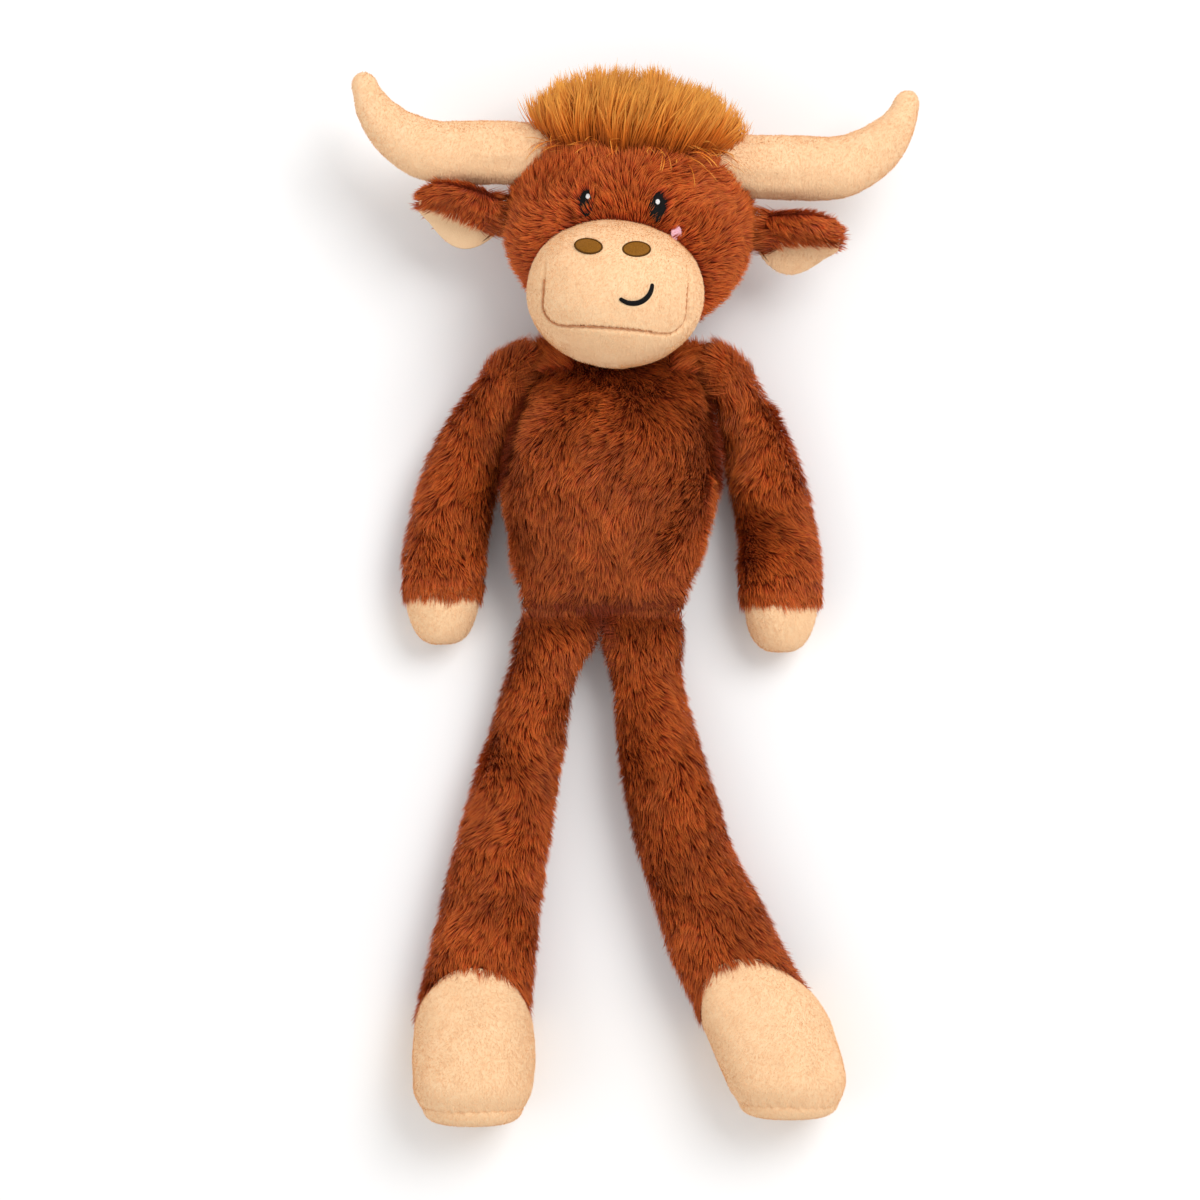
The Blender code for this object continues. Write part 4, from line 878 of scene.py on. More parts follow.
def in_ear(word, points):
    """Points of an ear's own frame in the world."""
    matrix = np.array(ear_matrix(word))
    return points @ matrix[:3, :3].T + matrix[:3, 3]


def ear_grid(word, rows, columns, near, far, width_share):
    """Two sheets of a cupped leaf, near and far from its middle sheet, thin at the rim and the tip."""
    u = np.linspace(0, 1, rows)[:, None]
    v = np.linspace(-1, 1, columns)[None, :]
    half = ear_half_width(u) * width_share
    pinch = np.minimum(1.0, 0.35 + 3.2 * u)
    thin = np.maximum(1 - 0.85 * np.abs(v) ** 4 - 0.6 * u**6, 0.1)
    return [ear_sheet(word, u, v, half, near * pinch), ear_sheet(word, u, v, half, far * pinch * thin)]


def ear_lip(word, rows, columns):
    """The ear's top rim rolled over its lining: two sheets from the rim down to a curved free edge.

    Across the ear it runs from v = -1.03 by 1.28 - 0.55 u, less at the tip, and passes from behind
    the lining to in front of it in the first quarter.
    """
    u = np.linspace(0.02, 0.96, rows)[:, None]
    w = np.linspace(0, 1, columns)[None, :]
    v = -1.03 + w * (1.28 - 0.55 * u) * eased((1.06 - u) / 0.16)
    falls = [EAR_LIP_START - (EAR_LIP_START + depth) * eased(w / 0.28) for depth in EAR_LIP_DEPTHS]
    return [ear_sheet(word, u, v, ear_half_width(u), fall) for fall in falls]


# Finishes


def new_look(name, colour, roughness, specular=0.3, sheen=0.0):
    """A plain finish, with its node tree and its shader."""
    look = bpy.data.materials.new(name)
    look.use_nodes = True
    shader = look.node_tree.nodes["Principled BSDF"]
    shader.inputs["Base Color"].default_value = (*colour, 1)
    shader.inputs["Roughness"].default_value = roughness
    shader.inputs["Specular IOR Level"].default_value = specular
    shader.inputs["Sheen Weight"].default_value = sheen
    shader.inputs["Sheen Tint"].default_value = (*colour, 1)
    look.diffuse_color = (*colour, 1)
    return look, look.node_tree, shader


def add_node(tree, kind, settings=(), values=()):
    """A shader node with its settings and the values of its sockets."""
    made = tree.nodes.new(kind)
    for key, value in dict(settings).items():
        setattr(made, key, value)
    for key, value in dict(values).items():
        made.inputs[key].default_value = value
    return made


def scaled(colour, amount):
    """A colour times an amount, no part above 1."""
    return tuple(min(1.0, c * amount) for c in colour)


def ramp(tree, stops):
    """A colour ramp through stops, each a place and a colour."""
    made = tree.nodes.new("ShaderNodeValToRGB")
    made.color_ramp.elements[0].position = stops[0][0]
    made.color_ramp.elements[0].color = (*stops[0][1], 1)
    made.color_ramp.elements[1].position = stops[-1][0]
    made.color_ramp.elements[1].color = (*stops[-1][1], 1)
    for place, colour in stops[1:-1]:
        made.color_ramp.elements.new(place).color = (*colour, 1)
    return made


def object_noise(tree, scale, detail):
    """Noise on the object's own coordinates, with its number of grains a metre."""
    place = tree.nodes.new("ShaderNodeTexCoord")
    made = add_node(tree, "ShaderNodeTexNoise", values={"Scale": scale, "Detail": detail})
    tree.links.new(place.outputs["Object"], made.inputs["Vector"])
    return made


def add_bump(tree, shader, height, strength, distance):
    """Bump from a height, on top of what bump the shader has."""
    bump = add_node(tree, "ShaderNodeBump", values={"Strength": strength, "Distance": distance})
    tree.links.new(height, bump.inputs["Height"])
    earlier = shader.inputs["Normal"].links
    if earlier:
        tree.links.new(earlier[0].from_socket, bump.inputs["Normal"])
    tree.links.new(bump.outputs["Normal"], shader.inputs["Normal"])


def pile_look(name, root, middle, tip, shade=0.62, glow=1.28):
    """Pile whose colour runs from a dark root to a bright tip along the map, partly its own colour and partly
    painted shade and highlight, darker or brighter by the wisp's tone.
    """
    look, tree, shader = new_look(name, middle, 0.58, 0.22)
    place = add_node(tree, "ShaderNodeUVMap", {"uv_map": PILE_MAP})
    parts = tree.nodes.new("ShaderNodeSeparateXYZ")
    tree.links.new(place.outputs["UV"], parts.inputs["Vector"])
    colours = []
    for amount in (shade, glow):
        run = ramp(
            tree,
            [(0.0, scaled(root, amount)), (0.45, scaled(middle, amount)), (1.0, scaled(tip, amount))],
        )
        tree.links.new(parts.outputs["Y"], run.inputs["Fac"])
        colours.append(run.outputs["Color"])
    mix = add_node(tree, "ShaderNodeMix", {"data_type": "RGBA"})
    tree.links.new(parts.outputs["X"], mix.inputs["Factor"])
    tree.links.new(colours[0], mix.inputs[6])
    tree.links.new(colours[1], mix.inputs[7])
    tree.links.new(mix.outputs[2], shader.inputs["Base Color"])
    return look


def mottled_look(name, colour, finish, grain, low, high, bump):
    """A finish that runs from a low to a high stop by noise, with bump by noise.

    finish holds roughness, specular and sheen; grain the noise's grains a metre and its detail;
    bump its strength and distance, then its own grain where that differs.
    """
    look, tree, shader = new_look(name, colour, *finish)
    pattern = object_noise(tree, *grain)
    shades = ramp(tree, [low, high])
    tree.links.new(pattern.outputs["Fac"], shades.inputs["Fac"])
    tree.links.new(shades.outputs["Color"], shader.inputs["Base Color"])
    if bump:
        strength, distance, *own = bump
        height = object_noise(tree, *own) if own else pattern
        add_bump(tree, shader, height.outputs["Fac"], strength, distance)
    return look


def backing_look(name, root, middle):
    """The woven ground under pile: mottled and rough, and dark as painted shade deep between the wisps."""
    low, high = (0.3, scaled(root, 0.8)), (0.7, scaled(middle, 0.42))
    return mottled_look(name, root, (0.95, 0.1), (420, 3), low, high, (0.8, 0.0008, 1500, 2))


def minky_look(colour):
    """Short peach plush: soft paler and darker patches, painted light and shade where the nap lies over, a
    fine grain, and a pale sheen.
    """
    look, tree, shader = new_look("peach minky", colour, 0.86, 0.18, 0.22)
    nap = object_noise(tree, 75, 3)
    grain = object_noise(tree, 1500, 3)
    pale = (min(1, colour[0] * 1.04), colour[1] * 1.10, colour[2] * 1.18)
    shades = ramp(tree, [(0.28, scaled(colour, 0.92)), (0.50, colour), (0.74, pale)])
    blend = add_node(tree, "ShaderNodeMix", {"data_type": "FLOAT"}, {0: 0.42})
    tree.links.new(nap.outputs["Fac"], blend.inputs[2])
    tree.links.new(grain.outputs["Fac"], blend.inputs[3])
    tree.links.new(blend.outputs[0], shades.inputs["Fac"])
    tree.links.new(shades.outputs["Color"], shader.inputs["Base Color"])
    add_bump(tree, shader, grain.outputs["Fac"], 0.55, 0.0006)
    add_bump(tree, shader, nap.outputs["Fac"], 0.30, 0.0016)
    return look


def thread_look(name, colour, roughness=0.6):
    """Embroidery thread with a fine darker and paler mottle, painted as the light and shade on its twist."""
    low, high = (0.25, scaled(colour, 0.62)), (0.75, scaled(colour, 1.35))
    return mottled_look(name, colour, (roughness, 0.06), (2600, 2), low, high, (0.5, 0.0002))


def fibre_look(name, colour):
    """Matted fibre, for stuffing and felt."""
    low, high = (0.3, scaled(colour, 0.78)), (0.7, scaled(colour, 1.1))
    return mottled_look(name, colour, (0.95, 0.1, 0.2), (900, 5), low, high, (0.7, 0.0005))


def looks():
    """All finishes by name, made on first use."""
    found = {m.name: m for m in bpy.data.materials if m.get("cow_finish")}
    if found:
        return found
    c = bpy.context.scene.cow_colours
    made = [
        pile_look("brown pile", c.fur_root, c.fur_middle, c.fur_tip, 0.49, 1.36),
        pile_look("golden pile", c.golden_root, c.golden_middle, c.golden_tip, 0.60, 1.22),
        # Darker pile that paints the shade in the creases
        pile_look("shaded pile", *(scaled(getattr(c, key), share) for key, share in PAINTED_SHADE_PILE), 0.6, 1.2),
        # Backings dark as painted shade between the wisps
        backing_look("brown backing", c.fur_root, c.fur_middle),
        backing_look("golden backing", c.golden_root, c.golden_middle),
        minky_look(tuple(c.minky)),
        pile_look("peach nap", scaled(c.minky, 0.965), tuple(c.minky), NAP_TIP, 0.955, 1.035),
        thread_look("nostril border", scaled(c.nostril_thread, 0.35)),
        thread_look("black thread", c.eye_thread),
        thread_look("white thread", c.pale_thread),
        thread_look("nostril thread", c.nostril_thread, 0.5),
        thread_look("seam thread", c.seam_thread, 0.7),
        thread_look("panel thread", c.panel_thread, 0.8),
        fibre_look("cheek felt", c.cheek_felt),
        fibre_look("filling", c.filling),
    ]
    for look in made:
        look["cow_finish"] = True
    return {m.name: m for m in made}


# The pieces


def soft(grid, seed, wide=0.0011, fine=0.0004, closed=True):
    """A grid with slow swells and small dents, as stuffing gives a skin."""
    normals = grid_normals(grid, closed)
    amount = wide * noise(grid, 0.024, seed) + fine * noise(grid, 0.008, seed + 1)
    return grid + normals * amount[..., None]


def inflated(name, grid, cap=CLOTH_CAP, voxel=CLOTH_FACE, hold=0.12):
    """A stuffed skin's grid after a cloth simulation that blows it up from inside.

    The cloth is a coarse copy with even faces. Its movement d, cut to a cap, reaches each point p of
    the grid as sum(w d) / sum(w), where w = exp(-(|p - q| / voxel)^2 / 2) for each point q of the
    copy. It fades to nothing at the sewn ends.
    """
    scene = bpy.context.scene
    form = capped(name + "_cloth", grid, None)
    even = form.modifiers.new("even faces", "REMESH")
    even.mode, even.voxel_size = "VOXEL", voxel
    coarse = bpy.data.meshes.new_from_object(form.evaluated_get(bpy.context.evaluated_depsgraph_get()))
    form.modifiers.remove(even)
    form.data = coarse
    cloth = form.modifiers.new("stuffing", "CLOTH")
    cloth.settings.use_pressure = True
    cloth.settings.uniform_pressure_force = CLOTH_PRESSURE
    cloth.settings.effector_weights.gravity = 0
    cloth.point_cache.frame_start, cloth.point_cache.frame_end = 1, CLOTH_FRAMES
    rest = mesh_points(coarse)
    for number in range(1, CLOTH_FRAMES + 1):
        scene.frame_set(number)
    swollen = form.evaluated_get(bpy.context.evaluated_depsgraph_get())
    moved = mesh_points(swollen.data) - rest
    bpy.data.objects.remove(form)
    scene.frame_set(1)
    reach = np.linalg.norm(moved, axis=1, keepdims=True)
    moved *= np.minimum(1, cap / np.maximum(reach, 1e-9))
    shift = np.empty_like(grid)
    for row, points in enumerate(grid):
        apart = ((points[:, None] - rest[None]) ** 2).sum(axis=2)
        weight = np.exp(-(apart - apart.min(axis=1, keepdims=True)) / (2 * voxel**2))
        shift[row] = weight @ moved / weight.sum(axis=1, keepdims=True)
    share = np.linspace(0, 1, len(grid))
    held = eased(share / hold) * eased((1 - share) / hold)
    return grid + shift * held[:, None, None]


def mesh_points(mesh):
    """The points of a mesh as rows of an array."""
    points = np.empty(len(mesh.vertices) * 3, np.float32)
    mesh.vertices.foreach_get("co", points)
    return points.reshape(-1, 3).astype(float)


def on_floor(grid):
    """A grid whose points rest on the surface below instead of sinking in it."""
    grid = grid.copy()
    grid[..., 2] = np.maximum(grid[..., 2], 0.0)
    return grid


def dress(piece, body, node):
    """Makes a piece ride on a body and stand for a CAD node, whose solid it hides."""
    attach(piece, body)
    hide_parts(node)


def furry(name, body, node, grid, direction, seed, sizes, place):
    """A plush part: a closed backing under a coat of wisps that lean along a direction field.

    place(roots) gives the wisps to keep, where they start, each one's share of the length and how much
    darker or paler it is.
    """
    dress(capped(name + "_backing", grid, looks()["brown backing"]), body, node)
    rng = np.random.default_rng(seed)
    roots, normals = scattered(grid, grid_normals(grid), sizes.pile_spacing, rng)
    kept, roots, length, tone = place(roots)
    roots, normals, length, tone = roots[kept], normals[kept], length[kept], tone[kept]
    leans = swirled(roots, normals, direction(roots), seed)
    wisps(
        name + "_pile", body, looks()["brown pile"], roots, normals, leans, rng, sizes.pile_length * length,
        sizes.pile_width, seed=seed, tone_shift=tone,
    )


def fringe(kind, name, body, grid, direction, seed, sizes, wanted=None, tone=-0.05, look="brown pile",
           length=None):
    """Longer wisps over a band of a plush part, that lie across the seam beside it.

    wanted(roots) tells which wisps are kept, and length(roots) gives their lengths where they vary.
    """
    rng = np.random.default_rng(seed)
    roots, normals = scattered(grid, grid_normals(grid), sizes.pile_spacing * 0.85, rng)
    if wanted is not None:
        kept = wanted(roots)
        roots, normals = roots[kept], normals[kept]
    leans = swirled(roots, normals, direction(roots), seed, 0.45, 0.4)
    even_length, bend = FRINGES[kind]
    wisps(
        name + "_fringe", body, looks()[look], roots, normals, leans, rng,
        length(roots) if length else even_length, sizes.pile_width, bend, 2, seed, tone_shift=tone,
    )


def nap(name, body, grid, seed, wanted=None, closed=True):
    """The velvet of minky: short single-facet wisps over a grid of points.

    wanted(roots) tells which wisps are kept and how much darker or paler each one is.
    """
    sizes = bpy.context.scene.cow_sizes
    rng = np.random.default_rng(seed)
    roots, normals = scattered(grid, grid_normals(grid, closed), sizes.nap_spacing, rng, closed)
    tone = np.zeros(len(roots))
    if wanted is not None:
        kept, tone = wanted(roots)
        roots, normals, tone = roots[kept], normals[kept], tone[kept]
    leans = swirled(roots, normals, np.tile((0.0, -1.0, 0.2), (len(roots), 1)), seed, 0.9, 0.5)
    wisps(
        name + "_nap", body, looks()["peach nap"], roots, normals, leans, rng, sizes.nap_length, NAP_WIDTH,
        (0.85, 1.1), 1, seed, NAP_CLUMP, tone,
    )


def tube(name, path, up, radius, look, closed=False):
    """A round thread along a path: a + r (cos b across + sin b up) at each point a of the path.

    across is the path's heading crossed with up. A closed thread is a ring without ends.
    """
    along = np.roll(path, -1, axis=0) - np.roll(path, 1, axis=0) if closed else np.gradient(path, axis=0)
    across = unit(np.cross(along, up))
    b = np.arange(THREAD_SIDES) * 2 * math.pi / THREAD_SIDES
    ring = np.cos(b)[None, :, None] * across[:, None] + np.sin(b)[None, :, None] * up[:, None]
    grid = path[:, None] + ring * radius[:, None, None]
    if not closed:
        return capped(name, grid, look)
    rows = len(path)
    quads = sheet_loops(rows + 1, THREAD_SIDES, True) % (rows * THREAD_SIDES)
    if faces_in(grid.reshape(-1, 3), quads):
        quads = quads[:, ::-1]
    return add_mesh(name, grid, quads, None, look)


def fixed_way(x, y, z=0.0):
    """A direction field that is the same everywhere."""
    return lambda points: np.tile((x, y, z), (len(points), 1))


def leaning(sideways, y, z=0.0):
    """A direction field whose sideways part is a function of X."""

    def field(points):
        """The same heading at every point but for its sideways part."""
        way = np.tile((0.0, y, z), (len(points), 1))
        way[:, 0] = sideways(points[:, 0])
        return way

    return field


def make_torso(sizes):
    """The torso's backing and pile, the fringes over its seams and the ones in its creases, whose darker pile
    paints the shade there.

    The pile runs down, away from the middle high up and a little towards it low down. Cross ripples
    sin(y / 5.2 mm) show in a band low on the belly.
    """

    def direction(points):
        """Down, with a sideways part that grows with X and changes sign at 0.3 of the length."""
        share = torso_share(points)
        way = np.tile((0.0, -1.0, 0.1), (len(points), 1))
        way[:, 0] = points[:, 0] * (16.0 * eased((share - 0.25) / 0.5) - 4.0 * eased((0.3 - share) / 0.3))
        return way

    def place(roots):
        """Shorter pile at the hips, and darker there, on the sides and under the chin, as painted shade in
        the creases by the legs and arms and under the chin.
        """
        share = torso_share(roots)
        aside = eased((torso_aside(roots) - 0.62) / 0.3) * eased((share - 0.30) / 0.2)
        low = eased((0.10 - share) / 0.10)
        under_chin = eased((share - 0.86) / 0.10) * eased(roots[:, 2] / 0.03)
        # Painted shade: darker at the hips, on the sides by the arms and under the chin
        return slice(None), roots, 1 - 0.40 * low, -0.17 - 0.26 * aside - 0.36 * low - 0.2 * under_chin

    def beside(edge, middle, reach):
        """Whether points lie out past an edge, over a reach of the length to both sides of its middle."""
        return lambda points: (torso_aside(points) > edge) & (np.abs(torso_share(points) - middle) < reach)

    def middle(points):
        """Whether points lie near the crotch's line."""
        return np.abs(points[:, 0] - CROTCH_X) < 0.011

    def corners(points):
        """Whether points lie out past the neck."""
        return np.abs(points[:, 0] - NECK[0]) > 0.020

    def hem(points):
        """Wisps over the hips, longest in the middle: 4.8 mm + 4.4 mm exp(-(x / 18 mm)^2)."""
        return 0.0048 + 0.0044 * np.exp(-(((points[:, 0] - CROTCH_X) / 0.018) ** 2))

    grid = soft(inflated("torso", torso_grid(*TORSO_GRID, PILE_ROOT)), 11, 0.0012, 0.0003)
    rumple = 0.0007 * np.sin(grid[..., 1] / 0.0052 + 9 * np.sin(grid[..., 0] * 40))
    rumple *= np.exp(-(((grid[..., 1] + 0.022) / 0.020) ** 2))
    grid = grid + grid_normals(grid) * rumple[..., None]
    furry("torso", "torso", "torso_skin", grid, direction, 101, sizes, place)
    sideways = leaning(lambda x: np.sign(x - NECK[0]), -0.6, 0.1)
    upwards = leaning(lambda x: np.sign(x - NECK[0]), 0.55)
    inward = leaning(lambda x: -(x - CROTCH_X) * 24, -1.0)
    down, up = fixed_way(0, -1), fixed_way(0, 1)
    # The flank, hip and crotch fringes take the darker pile, as painted shade in the creases by the arms and
    # legs.
    for kind, band, way, seed, wanted, tone, look, length in (
        ("flank", slice(None), sideways, 115, beside(0.86, 0.70, 0.23), 0.0, "shaded pile", None),
        ("waist", slice(None), sideways, 116, beside(0.84, 0.31, 0.21), -0.12, "brown pile", None),
        ("hip", slice(16), inward, 111, None, 0.1, "shaded pile", hem),
        ("crotch", slice(10), down, 112, middle, 0.0, "shaded pile", None),
        ("neck", slice(-14, None), up, 113, None, -0.05, "brown pile", None),
        ("shoulder", slice(-26, None), upwards, 114, corners, -0.05, "brown pile", None),
    ):
        fringe(kind, kind, "torso", grid[band], way, seed, sizes, wanted, tone, look, length)


def face_patches():
    """Each patch that pile grows over: its middle, half sizes, depth, and the part left in sight.

    The part in sight is an oval given by its shift from the middle and its half sizes, which are 0
    for the cheek that pile hides.
    """
    right, left = SIDES["right"], SIDES["left"]
    eye = (EYE_WIDTH / 2, EYE_HEIGHT / 2, EYE_DEPTH)
    cheek = (CHEEK_WIDTH / 2, CHEEK_HEIGHT / 2)
    return (
        (FACE_SHIFT + right * EYE_SPREAD, EYE_RISE, *eye, -0.0008, -0.0012, 0.0035, 0.0063),
        (FACE_SHIFT + left * EYE_SPREAD, EYE_RISE, *eye, 0.0006, -0.0002, 0.0023, 0.0045),
        (FACE_SHIFT + right * CHEEK_SPREAD, CHEEK_RISE, *cheek, 0.0034, -0.0022, -0.0006, 0.0018, 0.0025),
        (FACE_SHIFT + left * CHEEK_SPREAD, CHEEK_RISE, *cheek, 0.0042, 0.0, 0.0, 0.0, 0.0),
    )


def place_on_face(roots):
    """Head pile stays off the muzzle, the horns and what shows of each patch, and stands on the rest.

    It is shorter close to a patch and to the muzzle, and darker round the muzzle as painted shade at its
    base.
    """
    local = head_local(roots)
    free = muzzle_reach(local, -0.0006) > 1
    length = np.ones(len(roots))
    front = local[:, 2] > 0
    for x, y, half_wide, half_tall, depth, shift_x, shift_y, shown_wide, shown_tall in face_patches():
        over = front & (np.hypot((local[:, 0] - x) / half_wide, (local[:, 1] - y) / half_tall) < 1)
        local[over, 2] = head_height(local[over, 0], local[over, 1], 0.0004 - depth)
        across, along = local[:, 0] - x - shift_x, local[:, 1] - y - shift_y
        beside = np.hypot(across, along)
        short = np.minimum(length, 0.66 + 0.34 * eased(beside / 0.012))
        length = np.where(front & (beside < 0.012), short, length)
        if shown_wide:
            free &= ~(front & (np.hypot(across / shown_wide, along / shown_tall) < 1))
    for side in SIDES.values():
        away = np.hypot(local[:, 1] - HORN_RISE, local[:, 2] - (HORN_HEIGHT - NECK[2]))
        free &= ~((away < HORN_THICKNESS / 2 - 0.003) & (side * local[:, 0] > HORN_ROOT_X - 0.006))
    near_muzzle = muzzle_reach(local)
    short = np.minimum(length, 0.72 + 0.28 * (near_muzzle - 1) / 0.16)
    length = np.where(near_muzzle < 1.16, short, length)
    # Painted shade round the muzzle's base
    tone = 0.20 - 0.25 * eased((1.12 - near_muzzle) / 0.12)
    return free, from_head(local), length, tone


def make_head(sizes):
    """The head's backing and pile, which runs away from the muzzle's middle, and the chin's fringe."""

    def direction(points):
        """Away from a point just above the muzzle's middle, and a little down into the skin."""
        way = head_local(points) - MUZZLE_MIDDLE
        way[:, 1] -= 0.004
        way[:, 2] = -0.02
        return turned(unit(way), HEAD_ROLL)

    grid = soft(inflated("head", head_grid(*HEAD_GRID, PILE_ROOT)), 21, 0.0010, 0.0003)
    furry("head", "head", "head_skin", grid, direction, 201, sizes, place_on_face)
    fringe("chin", "chin", "head", grid[-12:], fixed_way(0, -1), 211, sizes)


def make_muzzle():
    """Two shells of minky over the muzzle's oval, tucked into each other along the panel's edge.

    The depth of the tuck fades with the distance s from the edge as exp(-(s / 1.3 mm)^2), and
    small puckers run across it. Both fade out over the top, where no seam shows.
    """
    rows, columns = MUZZLE_GRID
    around = np.arange(columns) * 2 * math.pi / columns
    edge = panel_polar(around)
    size = float(np.mean(MUZZLE_HALF))
    top = eased((np.sin(around) - 0.08) / 0.35)

    def relief(polar):
        """Lumps by noise, less the tuck along the edge, plus its puckers."""
        away = np.abs(polar - edge) * size
        tuck = (0.0016 * (1 - 0.95 * top)) * np.exp(-((away / 0.0013) ** 2))
        pucker = 0.00020 * np.sin(around * 46 + 3 * np.sin(around * 5)) * np.exp(-((away / 0.004) ** 2))
        place = muzzle_point(polar, around + 0 * polar)
        lumps = 0.0007 * noise(place, 0.021, 31) + 0.00022 * noise(place, 0.006, 32)
        return lumps - tuck + pucker * (1 - top)

    def shell(name, start, end, node, seed):
        """One panel between two angles from the front pole, with its velvet."""
        polar = start + (end - start) * end_spread(rows)[:, None]
        shift = relief(polar)
        outer = from_head(muzzle_point(polar, around + 0 * polar, shift))
        inner = from_head(muzzle_point(polar, around + 0 * polar, shift - MINKY_THICKNESS))
        dress(walled(name, outer, inner, looks()["peach minky"]), "head", node)
        nap(name, "head", outer[2:-1], seed, in_sight)

    def in_sight(points):
        """Velvet stays off the seam, the nostrils and the smile, and is darker along the seam as painted
        shade in its tuck.
        """
        local = head_local(points) - MUZZLE_MIDDLE
        spot = local / MUZZLE_HALF
        way = np.arctan2(spot[:, 1], spot[:, 0]) % (2 * math.pi)
        polar = np.arctan2(np.hypot(spot[:, 0], spot[:, 1]), spot[:, 2])
        away = np.abs(polar - np.interp(way, around, edge)) * size
        seamed = 1 - np.interp(way, around, top)
        free = (away > 0.0004) | (seamed < 0.5)
        front = local[:, 2] > 0
        x, y = local[:, 0] + MUZZLE_MIDDLE[0], local[:, 1] + MUZZLE_MIDDLE[1]
        for side in SIDES.values():
            nostril_x = FACE_SHIFT + NOSTRIL_SHIFT + side * NOSTRIL_SPREAD
            off = np.hypot((x - nostril_x) / NOSTRIL_WIDTH, (y - NOSTRIL_RISE) / NOSTRIL_HEIGHT) * 2
            free &= ~((off < 1.10) & front)
        reach = np.hypot(x - SMILE_X - FACE_SHIFT, y - SMILE_RISE) - SMILE_RADIUS
        turn = np.arctan2(y - SMILE_RISE, x - SMILE_X - FACE_SHIFT) % (2 * math.pi)
        turn = np.where(turn < SMILE_FROM - math.pi, turn + 2 * math.pi, turn)
        on_smile = (turn > SMILE_FROM - 0.1) & (turn < SMILE_TO + 0.1) & front
        free &= ~((np.abs(reach) < 0.0014) & on_smile)
        # Painted shade in the seam's tuck
        return free, 0.06 - 0.45 * seamed * np.exp(-((away / 0.0014) ** 2))

    gap = 0.00012 / size
    shell("muzzle_nose_panel", np.full(columns, 0.004), edge - gap, "nose_panel", 33)
    stop = np.maximum(muzzle_stop(around, edge), edge + 0.2)
    shell("muzzle_chin_panel", edge + gap, stop, "chin_panel", 34)
    make_muzzle_thread(around, edge)


def muzzle_stop(around, edge):
    """Angle from the front pole at which the muzzle goes into the head's backing, evened out."""
    sweep = np.linspace(0, math.pi * 0.9, 240)[:, None]
    place = muzzle_point(sweep + 0 * around, around + 0 * sweep)
    wide = place[..., 0] / (HEAD_WIDTH / 2 - PILE_ROOT)
    tall = (place[..., 1] - HEAD_RISE) / (HEAD_HEIGHT / 2 - PILE_ROOT)
    deep = (place[..., 2] - (HEAD_DEPTH / 2 - FLAT_DEPTH - NECK[2])) / (HEAD_DEPTH / 2 - PILE_ROOT)
    inside = (wide**2 + tall**2 + deep**2 < 0.97) & (sweep > edge + 0.05)
    stop = np.where(inside.any(axis=0), sweep[np.argmax(inside, axis=0), 0], math.pi * 0.8)
    for _ in range(10):
        stop = (np.roll(stop, 1) + 2 * stop + np.roll(stop, -1)) / 4
    return stop


def make_muzzle_thread(around, edge):
    """The thread along the panel's edge, thick and thin with |sin| once a stitch of 2.8 mm."""
    way = np.radians(np.linspace(176, 370, SEAM_THREAD_STEPS))
    bend = np.interp(way, around, edge, period=2 * math.pi)
    path = muzzle_point(bend, way, np.full(SEAM_THREAD_STEPS, -0.0010))
    up = unit((path - MUZZLE_MIDDLE) / MUZZLE_HALF**2)
    run = np.concatenate([[0], np.cumsum(np.linalg.norm(np.diff(path, axis=0), axis=1))])
    thick = 0.00036 * (0.62 + 0.55 * np.abs(np.sin(math.pi * run / 0.0028)) ** 0.7)
    look = looks()["panel thread"]
    thread = tube("muzzle_seam_thread", from_head(path), turned(up, HEAD_ROLL), thick, look)
    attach(thread, "head")


def stitched_oval(name, node, look, middle, size, under, sink, rise, pitch, tilt=0.0, slant=0.6):
    """Satin stitch: a shallow dome of parallel threads over an oval.

    Its height is the surface's, plus a dome 1 - r^4, plus a ridge |cos| for each thread across the
    oval. A skirt goes down under it by sink.
    """
    rows, columns = STITCH_GRID
    (x, y), (width, height) = middle, size
    r = np.linspace(0, 1, rows)[:, None]
    a = np.arange(columns) * 2 * math.pi / columns
    across, along = width / 2 * r * np.cos(a), height / 2 * r * np.sin(a)
    px = x + across * math.cos(tilt) - along * math.sin(tilt)
    py = y + across * math.sin(tilt) + along * math.cos(tilt)
    threads = np.abs(np.cos(math.pi * (along * math.cos(slant) + across * math.sin(slant)) / pitch))
    ridge = 0.00016 * threads * (1 - r**8)
    top = under(px, py) + rise * (1 - r**4) + ridge - 0.0002
    sx = x + (px[-1] - x) * 1.02
    sy = y + (py[-1] - y) * 1.02
    skirt = np.stack([sx, sy, under(sx, sy) - sink], 1)
    grid = np.concatenate([np.stack([px, py, top], 2)[1:], skirt[None]])
    dress(capped(name, from_head(grid), look), "head", node)


